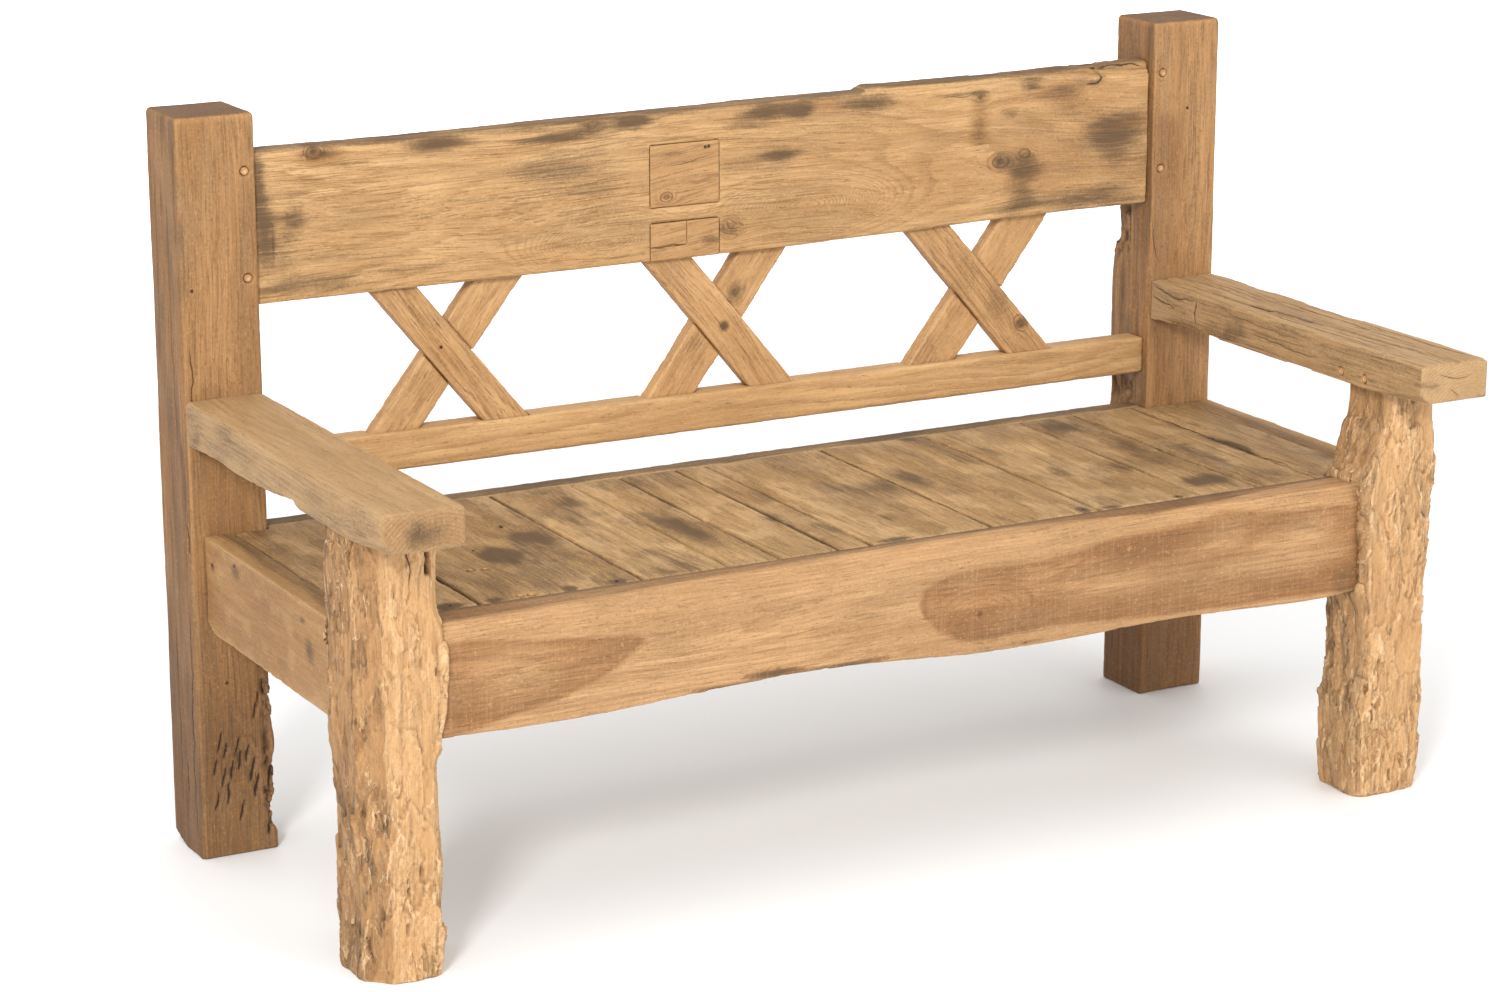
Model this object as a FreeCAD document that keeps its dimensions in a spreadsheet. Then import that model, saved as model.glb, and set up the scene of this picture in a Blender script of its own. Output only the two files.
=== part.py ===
import FreeCAD, Part
import os
import re
import Sketcher

# Rustic log bench with a crossed back. Millimetres, +Z up, the front faces -Y.
# The origin lies on the floor, midway along the length and the depth.

# Driving sizes, each written once. Left and right are those of someone facing the bench.
SIZES = {
    # whole bench
    "bench_length": 1600,
    "bench_depth": 746,
    "seat_height": 444.5,
    "fit_gap": 0.3,
    "cut_overrun": 30,
    # square back posts
    "post_width_left": 109,
    "post_width_right": 114,
    "post_depth_left": 108,
    "post_depth_right": 101,
    "post_rise_left": 53,
    "post_rise_right": 70,
    "post_arris_width": 4,
    "foot_wear_run": 38,
    "foot_wear_rise": 14,
    "edge_rot_drop": 60,
    "edge_rot_length": 52,
    "edge_rot_depth": 15,
    # rails between the posts
    "rail_setback": 10,
    "rail_thickness": 40,
    "rail_arris_width": 3,
    "top_rail_height": 201,
    "top_rail_wane_drop": 5,
    "top_rail_wane_rise": 35,
    "top_rail_wane_run": 21,
    "lower_rail_gap": 49.5,
    "lower_rail_height": 54,
    "cross_window_height": 192,
    # tenons of the rails, and the pegs through the upper ones
    "tenon_thickness": 16,
    "top_tenon_length": 60,
    "top_tenon_relief": 21,
    "top_tenon_lift_left": 12,
    "top_tenon_lift_right": 31,
    "lower_tenon_length": 45,
    "tenon_shoulder": 9,
    "mortise_end_gap": 2,
    "peg_radius": 5.5,
    "peg_inset": 16,
    "peg_length": 52,
    "peg_proud": 1,
    # crossed braces
    "brace_thickness": 24,
    "brace_inset": 9,
    "rising_extra_depth": 5,
    "brace_housing_depth": 12,
    "falling_width_left": 68,
    "falling_width_middle": 73,
    "falling_width_right": 75,
    "rising_width_left": 74,
    "rising_width_middle": 76,
    "rising_width_right": 81,
    # repairs let into the top rail
    "patch_lead": 111,
    "patch_width": 106,
    "patch_depth": 12,
    "patch_proud": 0.8,
    "upper_patch_rise": 73.5,
    "upper_patch_height": 86,
    "lower_patch_height": 52,
    "small_patch_width": 55,
    "small_patch_height": 33,
    "small_patch_depth": 5,
    # front legs, hewn from logs
    "leg_inset_left": 17,
    "leg_inset_right": 4,
    "leg_width_left": 111,
    "leg_width_right": 107,
    "leg_depth_left": 109,
    "leg_depth_right": 98,
    "leg_setback_left": 114,
    "leg_setback_right": 101,
    "leg_housing_depth": 6,
    "leg_tenon_width": 40,
    "leg_tenon_depth": 76,
    "leg_tenon_height": 38,
    # arms
    "arm_width_left": 108,
    "arm_width_right": 111,
    "arm_rise_left": 182.5,
    "arm_rise_right": 190.5,
    "arm_thickness_left": 54,
    "arm_thickness_right": 56,
    "arm_arris_width": 3,
    "arm_wane_run": 16,
    "arm_wane_rise": 14,
    "arm_wane_length": 110,
    "arm_tenon_width": 60,
    "arm_tenon_height": 26,
    "arm_tenon_length": 45,
    "arm_peg_rise": 14,
    "arm_peg_spread": 52,
    "arm_peg_length": 92,
    # front seat rail, a slab with its natural edge
    "apron_setback": 8,
    "apron_thickness": 65,
    "apron_height": 144.5,
    "apron_tenon_thickness": 24,
    "apron_tenon_length": 45,
    "apron_tenon_shoulder": 26,
    # rear and side seat rails
    "back_rail_setback": 14,
    "back_rail_thickness": 30,
    "back_rail_height": 110.5,
    "back_tenon_length": 40,
    "side_rail_inset_left": 19,
    "side_rail_inset_right": 4,
    "side_rail_thickness": 40,
    "side_rail_height": 127.5,
    "side_tenon_shoulder": 18,
    "side_tenon_length": 38,
    "side_corner_run": 26,
    "side_corner_rise": 12,
    # seat boards, their hidden ledgers and the plugs in the second board
    "board_thickness": 22,
    "board_gap": 1.2,
    "board_leg_gap": 5,
    "board_post_gap": 1,
    "ledger_width": 30,
    "ledger_height": 35,
    "ledger_end_gap": 12,
    "ledger_post_gap": 2,
    "plug_radius": 5,
    "plug_length": 12,
    "plug_proud": 0.4,
}

SIDES = {"left": -1, "right": 1}
CROSSES = ("left", "middle", "right")

# Middle of each cross, as a share of the way from the left post to the right one.
CROSS_PLACE_SHARES = {"left": 0.1983, "middle": 0.4938, "right": 0.7988}

# How far each brace leans sideways, as a share of its rise.
FALLING_LEAN_SHARES = {"left": 0.82, "middle": 0.83, "right": 0.87}
RISING_LEAN_SHARES = {"left": 0.8, "middle": 0.75, "right": 0.77}

# Places of the pegs up each tenon of the top rail, as shares of its height.
PEG_SHARES = (0.15, 0.925)

# Natural outline of the top rail, as shares of its length and height.
TOP_RAIL_UNDER_SHARES = ((0, 0), (0.57, 0), (0.865, 0.035), (1, 0.035))
TOP_RAIL_UPPER_SHARES = (
    (1, 1.068), (0.96, 1.072), (0.816, 1.048), (0.665, 1.06), (0.655, 1.022),
    (0.513, 1.02), (0.317, 1.008), (0.148, 0.995), (0, 1),
)

# Underside of each arm from the post to its front end: shares of its length and thickness.
ARM_UNDER_SHARES = {
    "left": ((0, -0.1), (0.17, 0), (0.28, -0.06), (0.45, 0), (0.56, 0.13), (0.6, 0), (0.86, 0), (1, 0.08)),
    "right": ((0, -0.05), (0.14, 0.04), (0.34, 0), (0.6, 0.02), (0.66, 0), (0.88, 0), (1, 0.04)),
}

# What is left of an arm's wane where it dies out, as a share of its size at the front.
WANE_TIP_SHARE = 0.04

# Stations evenly spaced up each leg: how far the inner, outer, front and back
# sides bulge, as shares of the leg's width.
LEG_STATION_SHARES = {
    "left": (
        (-0.05, 0.012, 0, 0), (-0.036, -0.025, -0.01, 0), (-0.041, -0.011, -0.01, 0),
        (-0.04, -0.014, -0.01, 0), (-0.036, 0.013, 0, 0), (0.063, 0.028, 0.01, 0),
        (0.01, 0.032, 0, 0), (-0.036, 0.031, 0, 0), (-0.045, 0.027, -0.01, 0),
    ),
    "right": (
        (0.028, 0.006, 0, 0), (0.061, 0.028, 0, 0), (0, 0.019, 0, 0),
        (-0.042, 0.003, 0, 0), (0.002, -0.009, 0, 0), (0.009, 0.019, 0, 0),
        (0.013, 0.06, 0, 0), (-0.14, 0.05, 0, 0), (-0.24, 0.015, -0.01, 0),
    ),
}

# Corners taken off each leg, as shares of its width along X and along Y.
LEG_CORNER_SHARES = {
    "left": {
        "inner_front": (0.1, 0.12), "outer_front": (0.28, 0.3),
        "outer_back": (0.04, 0.05), "inner_back": (0.06, 0.06),
    },
    "right": {
        "inner_front": (0.09, 0.1), "outer_front": (0.06, 0.08),
        "outer_back": (0.06, 0.06), "inner_back": (0.04, 0.05),
    },
}

# Stations evenly spaced along the front seat rail: the rise of its lower edge and the
# drop of its upper wane as shares of its height, and the run of the wane as a share
# of its thickness.
APRON_STATION_SHARES = (
    (0.017, 0.11, 0.17), (-0.007, 0.12, 0.2), (0.035, 0.155, 0.4), (0.066, 0.18, 0.55), (0.003, 0.17, 0.55),
    (-0.038, 0.15, 0.48), (-0.014, 0.13, 0.36), (-0.042, 0.13, 0.28), (-0.014, 0.18, 0.2),
)
APRON_LOWEST_SHARE = min(station[0] for station in APRON_STATION_SHARES)

# Seams between the seat boards, as shares of the way between the side rails.
SEAM_SHARES = (
    0, 0.0995, 0.2478, 0.33, 0.3794, 0.4362, 0.4683, 0.5905, 0.7041, 0.8123, 0.8731, 0.9392, 1,
)

# Plugs in the second board, as shares of its width and of its length from the front.
PLUG_SHARES = ((0.23, 0.31), (0.31, 0.3), (0.26, 0.025), (0.325, 0.022))

doc = FreeCAD.newDocument("Bench")
sheet = doc.addObject("Spreadsheet::Sheet", "Sizes")
for row, (size_name, size) in enumerate(SIZES.items(), 1):
    sheet.set(f"A{row}", str(size))
    sheet.setAlias(f"A{row}", size_name)
doc.recompute()

sub_parts = []
cuts = []


def bound(formula):
    """Point every size name in a formula at its cell."""
    return re.sub("[a-z][a-z_]+", lambda word: "Sizes." + word.group(), str(formula))


def worked_out(formula):
    """Present value of a formula in size names."""
    result = sheet.evalExpression(bound(formula))
    return float(getattr(result, "Value", result))


def new_body(label):
    body = doc.addObject("PartDesign::Body", label)
    body.Label = label
    sub_parts.append(body)
    return body


def blank_sketch(body, plane, start):
    """Sketch on the body's XY, XZ or YZ plane, moved to a place along X, Y or Z."""
    sketch = body.newObject("Sketcher::SketchObject", body.Name + "_outline")
    face = [item for item in body.Origin.OriginFeatures if item.Role == plane + "_Plane"][0]
    sketch.AttachmentSupport = [(face, "")]
    sketch.MapMode = "FlatFace"
    along = f"-({start})" if plane == "XZ" else f"({start})"
    sketch.setExpression("AttachmentOffset.Base.z", bound(along))
    return sketch


def pin(sketch, geometry, point, place):
    """Tie a point of the sketch to its place, given as two formulas."""
    for direction, formula in zip(("DistanceX", "DistanceY"), place):
        rule = Sketcher.Constraint(direction, -1, 1, geometry, point, worked_out(formula))
        index = sketch.addConstraint(rule)
        sketch.setExpression(f"Constraints[{index}]", bound(formula))


def polygon(body, plane, start, corners):
    """Closed outline with straight sides through its corners."""
    sketch = blank_sketch(body, plane, start)
    places = [FreeCAD.Vector(worked_out(across), worked_out(up), 0) for across, up in corners]
    count = len(corners)
    for index in range(count):
        sketch.addGeometry(Part.LineSegment(places[index], places[(index + 1) % count]), False)
    for index in range(count):
        sketch.addConstraint(Sketcher.Constraint("Coincident", index, 2, (index + 1) % count, 1))
        pin(sketch, index, 1, corners[index])
    return sketch


def circles(body, plane, start, centres, radius):
    """One outline of equal circles."""
    sketch = blank_sketch(body, plane, start)
    for index, centre in enumerate(centres):
        middle = FreeCAD.Vector(worked_out(centre[0]), worked_out(centre[1]), 0)
        ring = Part.Circle(middle, FreeCAD.Vector(0, 0, 1), worked_out(radius))
        sketch.addGeometry(ring, False)
        rule = sketch.addConstraint(Sketcher.Constraint("Radius", index, worked_out(radius)))
        sketch.setExpression(f"Constraints[{rule}]", bound(radius))
        pin(sketch, index, 3, centre)
    return sketch


def pad(body, sketch, length, plane):
    """Grow a solid from the sketch towards plus X, Y or Z."""
    feature = body.newObject("PartDesign::Pad", body.Name + "_pad")
    feature.Profile = sketch
    feature.Reversed = plane == "XZ"
    feature.setExpression("Length", bound(length))
    return feature


def cut(body, sketch, length, plane):
    """Take material away from the sketch towards plus X, Y or Z."""
    feature = body.newObject("PartDesign::Pocket", body.Name + "_cut")
    feature.Profile = sketch
    feature.Reversed = plane != "XZ"
    feature.setExpression("Length", bound(length))
    cuts.append(feature)
    return feature


def rectangle(left, right, low, high):
    return ((left, low), (right, low), (right, high), (left, high))


def block(body, across, deep, tall):
    """Add a box between pairs of formulas along X, Y and Z."""
    sketch = polygon(body, "XY", tall[0], rectangle(across[0], across[1], deep[0], deep[1]))
    return pad(body, sketch, f"({tall[1]}) - ({tall[0]})", "XY")


def hollow(body, across, deep, tall):
    """Take away a box between pairs of formulas along X, Y and Z."""
    sketch = polygon(body, "XY", tall[0], rectangle(across[0], across[1], deep[0], deep[1]))
    return cut(body, sketch, f"({tall[1]}) - ({tall[0]})", "XY")


def loft(body, sketches):
    feature = body.newObject("PartDesign::AdditiveLoft", body.Name + "_loft")
    feature.Profile = sketches[0]
    feature.Sections = sketches[1:]
    return feature


def ease(body, size, chosen):
    """Chamfer the edges of the body so far that pass the test."""
    doc.recompute()
    base = body.Tip
    names = [f"Edge{number}" for number, edge in enumerate(base.Shape.Edges, 1) if chosen(edge)]
    feature = body.newObject("PartDesign::Chamfer", body.Name + "_arris")
    feature.Base = (base, names)
    feature.setExpression("Size", bound(size))
    return feature


def runs_along(edge, axis):
    ends = [vertex.Point for vertex in edge.Vertexes]
    return len(ends) == 2 and abs((ends[1] - ends[0]).normalize()[axis]) > 0.999


def widened(span, gap):
    """Grow a pair of formulas by a gap at both ends."""
    return (f"({span[0]}) - ({gap})", f"({span[1]}) + ({gap})")


def ordered(side, inner, outer):
    """Put an inner and an outer place in rising order along X."""
    return (outer, inner) if side == "left" else (inner, outer)


# Places that several pieces share.
POST_FRONT = "(bench_depth / 2 - post_depth_left)"
BENCH_FRONT = "(-bench_depth / 2)"
RAIL_FRONT = f"({POST_FRONT} + rail_setback)"
RAIL_BACK = f"({RAIL_FRONT} + rail_thickness)"
RAIL_MIDDLE = f"({RAIL_FRONT} + rail_thickness / 2)"
TENON_DEEP = (f"{RAIL_MIDDLE} - tenon_thickness / 2", f"{RAIL_MIDDLE} + tenon_thickness / 2")
LOWER_RAIL_UNDERSIDE = "(seat_height + lower_rail_gap)"
LOWER_RAIL_TOP = f"({LOWER_RAIL_UNDERSIDE} + lower_rail_height)"
TOP_RAIL_UNDERSIDE = f"({LOWER_RAIL_TOP} + cross_window_height)"
TOP_TENON_HEIGHT = "(top_rail_height - top_tenon_relief)"
RAIL_LENGTH = "(bench_length - post_width_left - post_width_right)"
APRON_FRONT = f"({BENCH_FRONT} + leg_setback_left + apron_setback)"
APRON_BACK = f"({APRON_FRONT} + apron_thickness)"
APRON_MIDDLE = f"({APRON_FRONT} + apron_thickness / 2)"
APRON_DEEP = (f"{APRON_MIDDLE} - apron_tenon_thickness / 2", f"{APRON_MIDDLE} + apron_tenon_thickness / 2")
APRON_UNDERSIDE = "(seat_height - apron_height)"
APRON_TALL = (f"{APRON_UNDERSIDE} + apron_tenon_shoulder", "seat_height - apron_tenon_shoulder")
BACK_RAIL_FRONT = f"({POST_FRONT} + back_rail_setback)"
BACK_RAIL_BACK = f"({BACK_RAIL_FRONT} + back_rail_thickness)"
BACK_RAIL_MIDDLE = f"({BACK_RAIL_FRONT} + back_rail_thickness / 2)"
BACK_DEEP = (f"{BACK_RAIL_MIDDLE} - tenon_thickness / 2", f"{BACK_RAIL_MIDDLE} + tenon_thickness / 2")
BACK_TALL = ("seat_height - back_rail_height + tenon_shoulder", "seat_height - tenon_shoulder")
SIDE_TALL = ("seat_height - side_rail_height + side_tenon_shoulder", "seat_height - side_tenon_shoulder")
LOWER_TALL = (f"{LOWER_RAIL_UNDERSIDE} + tenon_shoulder", f"{LOWER_RAIL_TOP} - tenon_shoulder")
BOARD_UNDERSIDE = "(seat_height - board_thickness)"
CROSS_HEIGHT = f"({LOWER_RAIL_TOP} + cross_window_height / 2)"
FALLING_DEEP = (f"{RAIL_FRONT} + brace_inset", f"{RAIL_FRONT} + brace_inset + brace_thickness")
RISING_DEEP = tuple(f"{place} + rising_extra_depth" for place in FALLING_DEEP)
LAP_PLANE = f"({RAIL_FRONT} + brace_inset + (brace_thickness + rising_extra_depth) / 2)"


def post_outer(side):
    return f"({SIDES[side]} * bench_length / 2)"


def post_inner(side):
    return f"({SIDES[side]} * (bench_length / 2 - post_width_{side}))"


def leg_outer(side):
    return f"({SIDES[side]} * (bench_length / 2 - leg_inset_{side}))"


def leg_inner(side):
    return f"({SIDES[side]} * (bench_length / 2 - leg_inset_{side} - leg_width_{side}))"


def leg_front(side):
    return f"({BENCH_FRONT} + leg_setback_{side})"


def leg_back(side):
    return f"({leg_front(side)} + leg_depth_{side})"


def arm_inner(side):
    return f"({SIDES[side]} * (bench_length / 2 - arm_width_{side}))"


def arm_middle(side):
    return f"({SIDES[side]} * (bench_length / 2 - arm_width_{side} / 2))"


def post_height(side):
    return f"({TOP_RAIL_UNDERSIDE} + top_rail_height + post_rise_{side})"


def arm_top(side):
    return f"(seat_height + arm_rise_{side})"


def arm_underside(side):
    return f"({arm_top(side)} - arm_thickness_{side})"


def side_rail_outer(side):
    return f"({SIDES[side]} * (bench_length / 2 - side_rail_inset_{side}))"


def side_rail_inner(side):
    return f"({SIDES[side]} * (bench_length / 2 - side_rail_inset_{side} - side_rail_thickness))"


def side_rail_middle(side):
    return f"({SIDES[side]} * (bench_length / 2 - side_rail_inset_{side} - side_rail_thickness / 2))"


def inwards(side, place, run):
    """Move a place along X towards the middle of the bench."""
    return f"({place} - ({SIDES[side]}) * ({run}))"


def outwards(side, place, run):
    """Move a place along X away from the middle of the bench."""
    return f"({place} + ({SIDES[side]}) * ({run}))"


def tenon_across(side, face, length):
    """Span along X of a tenon that enters a post or a leg."""
    return ordered(side, face, outwards(side, face, length))


def about(middle, size):
    """Span of a size about its middle."""
    return (f"{middle} - ({size}) / 2", f"{middle} + ({size}) / 2")


def top_tenon_tall(side):
    low = f"{TOP_RAIL_UNDERSIDE} + top_tenon_lift_{side}"
    return (low, f"{low} + {TOP_TENON_HEIGHT}")


def rail_peg_places(side):
    """Centres of the two pegs that lock a tenon of the top rail, seen from the front."""
    across = outwards(side, post_inner(side), "peg_inset")
    low = top_tenon_tall(side)[0]
    return [(across, f"{low} + {share} * {TOP_TENON_HEIGHT}") for share in PEG_SHARES]


def leg_tenon_span(side):
    """Spans along X and Y of the tenon on top of a leg."""
    deep_middle = f"({leg_front(side)} + leg_depth_{side} / 2)"
    return about(arm_middle(side), "leg_tenon_width"), about(deep_middle, "leg_tenon_depth")


def arm_peg_places(side):
    """Centres of the two pegs that lock a leg's tenon, seen from the side."""
    deep_middle = f"({leg_front(side)} + leg_depth_{side} / 2)"
    up = f"{arm_underside(side)} + arm_peg_rise"
    return [(place, up) for place in about(deep_middle, "arm_peg_spread")]


def cross_middle(cross):
    return f"({post_inner('left')} + {CROSS_PLACE_SHARES[cross]} * {RAIL_LENGTH})"


def brace_corners(cross, kind, gap):
    """Corners of a brace seen from the front, its ends let into both rails."""
    lean = -FALLING_LEAN_SHARES[cross] if kind == "falling" else RISING_LEAN_SHARES[cross]
    middle = cross_middle(cross)
    half = f"({kind}_width_{cross} / 2 + {gap})"
    low = f"({LOWER_RAIL_TOP} - brace_housing_depth - {gap})"
    high = f"({TOP_RAIL_UNDERSIDE} + brace_housing_depth + {gap})"
    low_middle = f"({middle} + {lean} * ({low} - {CROSS_HEIGHT}))"
    high_middle = f"({middle} + {lean} * ({high} - {CROSS_HEIGHT}))"
    return (
        (f"{low_middle} - {half}", low), (f"{low_middle} + {half}", low),
        (f"{high_middle} + {half}", high), (f"{high_middle} - {half}", high),
    )


def house_braces(rail):
    """Cut the pockets that hold the ends of all six braces."""
    for cross in CROSSES:
        for kind, deep in (("falling", FALLING_DEEP), ("rising", RISING_DEEP)):
            start = f"{deep[0]} - fit_gap"
            outline = polygon(rail, "XZ", start, brace_corners(cross, kind, "fit_gap"))
            cut(rail, outline, "brace_thickness + 2 * fit_gap", "XZ")


def back_post(side):
    """Square post with its mortises, peg holes and worn places."""
    body = new_body(f"back_post_{side}")
    across = ordered(side, post_inner(side), post_outer(side))
    deep = (POST_FRONT, f"{POST_FRONT} + post_depth_{side}")
    block(body, across, deep, ("0", post_height(side)))
    top = worked_out(f"{post_height(side)} - fit_gap")
    ease(body, "post_arris_width", lambda edge: runs_along(edge, 2) or edge.CenterOfMass.z > top)
    hollow(body, tenon_across(side, post_inner(side), "top_tenon_length + mortise_end_gap"),
           widened(TENON_DEEP, "fit_gap"), widened(top_tenon_tall(side), "fit_gap"))
    hollow(body, tenon_across(side, post_inner(side), "lower_tenon_length + mortise_end_gap"),
           widened(TENON_DEEP, "fit_gap"), widened(LOWER_TALL, "fit_gap"))
    hollow(body, tenon_across(side, post_inner(side), "back_tenon_length + mortise_end_gap"),
           widened(BACK_DEEP, "fit_gap"), widened(BACK_TALL, "fit_gap"))
    hollow(body, widened(about(side_rail_middle(side), "tenon_thickness"), "fit_gap"),
           (POST_FRONT, f"{POST_FRONT} + side_tenon_length + mortise_end_gap"), widened(SIDE_TALL, "fit_gap"))
    arm_height_middle = f"({arm_underside(side)} + arm_thickness_{side} / 2)"
    hollow(body, widened(about(arm_middle(side), "arm_tenon_width"), "fit_gap"),
           (POST_FRONT, f"{POST_FRONT} + arm_tenon_length + mortise_end_gap"),
           widened(about(arm_height_middle, "arm_tenon_height"), "fit_gap"))
    holes = circles(body, "XZ", POST_FRONT, rail_peg_places(side), "peg_radius + fit_gap / 2")
    cut(body, holes, "peg_length", "XZ")
    return body


def wear_left_foot(body):
    """The foot of the left post has lost its lower back edge."""
    back = f"({POST_FRONT} + post_depth_left)"
    corners = (
        (f"{back} - foot_wear_run", "0"), (f"{back} + cut_overrun", "-cut_overrun"),
        (f"{back} + cut_overrun", "foot_wear_rise"), (back, "foot_wear_rise"),
    )
    cut(body, polygon(body, "YZ", f"{post_outer('left')} - cut_overrun", corners),
        "post_width_left + 2 * cut_overrun", "YZ")


def wear_right_edge(body):
    """The inner back edge of the right post has rotted away below the top rail."""
    inner = post_inner("right")
    back = f"({POST_FRONT} + post_depth_right)"
    corners = (
        (f"{inner} - cut_overrun", f"{back} + cut_overrun"),
        (f"{inner} - cut_overrun", f"{back} - edge_rot_depth"),
        (inner, f"{back} - edge_rot_depth"), (f"{inner} + edge_rot_depth", back),
        (f"{inner} + edge_rot_depth", f"{back} + cut_overrun"),
    )
    cut(body, polygon(body, "XY", f"{TOP_RAIL_UNDERSIDE} - edge_rot_drop", corners), "edge_rot_length", "XY")


def top_rail():
    """Deep plank with a natural upper edge, tenons, housings and recesses for its repairs."""
    body = new_body("top_back_rail")
    left = post_inner("left")
    corners = [
        (f"{left} + {along} * {RAIL_LENGTH}", f"{TOP_RAIL_UNDERSIDE} + {up} * top_rail_height")
        for along, up in TOP_RAIL_UNDER_SHARES + TOP_RAIL_UPPER_SHARES
    ]
    pad(body, polygon(body, "XZ", RAIL_FRONT, corners), "rail_thickness", "XZ")
    low = f"({TOP_RAIL_UNDERSIDE} + top_rail_height - top_rail_wane_drop)"
    high = f"({low} + top_rail_wane_rise)"
    wane = (
        (f"{RAIL_FRONT} - cut_overrun", low), (RAIL_FRONT, low),
        (f"{RAIL_FRONT} + top_rail_wane_run", high), (f"{RAIL_FRONT} - cut_overrun", high),
    )
    cut(body, polygon(body, "YZ", left, wane), RAIL_LENGTH, "YZ")
    for side in SIDES:
        block(body, tenon_across(side, post_inner(side), "top_tenon_length"),
              TENON_DEEP, top_tenon_tall(side))
        holes = circles(body, "XZ", RAIL_FRONT, rail_peg_places(side), "peg_radius + fit_gap / 2")
        cut(body, holes, "rail_thickness", "XZ")
    house_braces(body)
    hollow(body, widened(patch_across(), "fit_gap"), (RAIL_FRONT, f"{RAIL_FRONT} + patch_depth"),
           widened(upper_patch_tall(), "fit_gap"))
    hollow(body, widened(patch_across(), "fit_gap"), (RAIL_FRONT, f"{RAIL_FRONT} + patch_depth"),
           (lower_patch_tall()[0], f"{lower_patch_tall()[1]} + fit_gap"))
    return body


def patch_across():
    left = f"({cross_middle('middle')} - patch_lead)"
    return (left, f"{left} + patch_width")


def upper_patch_tall():
    low = f"({TOP_RAIL_UNDERSIDE} + upper_patch_rise)"
    return (low, f"{low} + upper_patch_height")


def lower_patch_tall():
    return (TOP_RAIL_UNDERSIDE, f"({TOP_RAIL_UNDERSIDE} + lower_patch_height)")


def small_patch_tall():
    high = lower_patch_tall()[1]
    return (f"{high} - small_patch_height", high)


def rail_patches():
    """Three repairs let into the face of the top rail, the smallest into the lower one."""
    left = patch_across()[0]
    small_across = (left, f"{left} + small_patch_width")
    face = f"({RAIL_FRONT} - patch_proud)"
    upper = new_body("rail_patch_upper")
    block(upper, patch_across(), (face, f"{RAIL_FRONT} + patch_depth"), upper_patch_tall())
    lower = new_body("rail_patch_lower")
    block(lower, patch_across(), (face, f"{RAIL_FRONT} + patch_depth"), lower_patch_tall())
    hollow(lower, (small_across[0], f"{small_across[1]} + fit_gap"),
           (face, f"{RAIL_FRONT} + small_patch_depth"),
           (f"{small_patch_tall()[0]} - fit_gap", small_patch_tall()[1]))
    brace_end = brace_corners("middle", "falling", "fit_gap")
    cut(lower, polygon(lower, "XZ", f"{FALLING_DEEP[0]} - fit_gap", brace_end), "brace_thickness", "XZ")
    small = new_body("rail_patch_small")
    block(small, small_across, (face, f"{RAIL_FRONT} + small_patch_depth"), small_patch_tall())


def lower_rail():
    body = new_body("lower_back_rail")
    block(body, (post_inner("left"), post_inner("right")), (RAIL_FRONT, RAIL_BACK),
          (LOWER_RAIL_UNDERSIDE, LOWER_RAIL_TOP))
    ease(body, "rail_arris_width", lambda edge: runs_along(edge, 0))
    for side in SIDES:
        block(body, tenon_across(side, post_inner(side), "lower_tenon_length"), TENON_DEEP, LOWER_TALL)
    house_braces(body)
    return body


def brace(cross, kind):
    """Leaning brace, halved where it crosses its partner."""
    body = new_body(f"brace_{cross}_{kind}")
    deep = FALLING_DEEP if kind == "falling" else RISING_DEEP
    partner = "rising" if kind == "falling" else "falling"
    pad(body, polygon(body, "XZ", deep[0], brace_corners(cross, kind, "0")), "brace_thickness", "XZ")
    lap = (LAP_PLANE, f"{deep[1]}") if kind == "falling" else (f"{deep[0]}", LAP_PLANE)
    outline = polygon(body, "XZ", lap[0], brace_corners(cross, partner, "fit_gap"))
    cut(body, outline, f"({lap[1]}) - ({lap[0]})", "XZ")
    return body


def leg_section(side, station):
    """Eight corners of a leg at one height."""
    inner_share, outer_share, front_share, back_share = station
    width = f"leg_width_{side}"
    inner = inwards(side, leg_inner(side), f"{inner_share} * {width}")
    outer = outwards(side, leg_outer(side), f"{outer_share} * {width}")
    front = f"({leg_front(side)} - ({front_share} * {width}))"
    back = f"({leg_back(side)} + ({back_share} * {width}))"
    cut_x = {name: f"{shares[0]} * {width}" for name, shares in LEG_CORNER_SHARES[side].items()}
    cut_y = {name: f"{shares[1]} * {width}" for name, shares in LEG_CORNER_SHARES[side].items()}
    return (
        (outwards(side, inner, cut_x["inner_front"]), front),
        (inwards(side, outer, cut_x["outer_front"]), front),
        (outer, f"{front} + {cut_y['outer_front']}"), (outer, f"{back} - {cut_y['outer_back']}"),
        (inwards(side, outer, cut_x["outer_back"]), back), (outwards(side, inner, cut_x["inner_back"]), back),
        (inner, f"{back} - {cut_y['inner_back']}"), (inner, f"{front} + {cut_y['inner_front']}"),
    )


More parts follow.
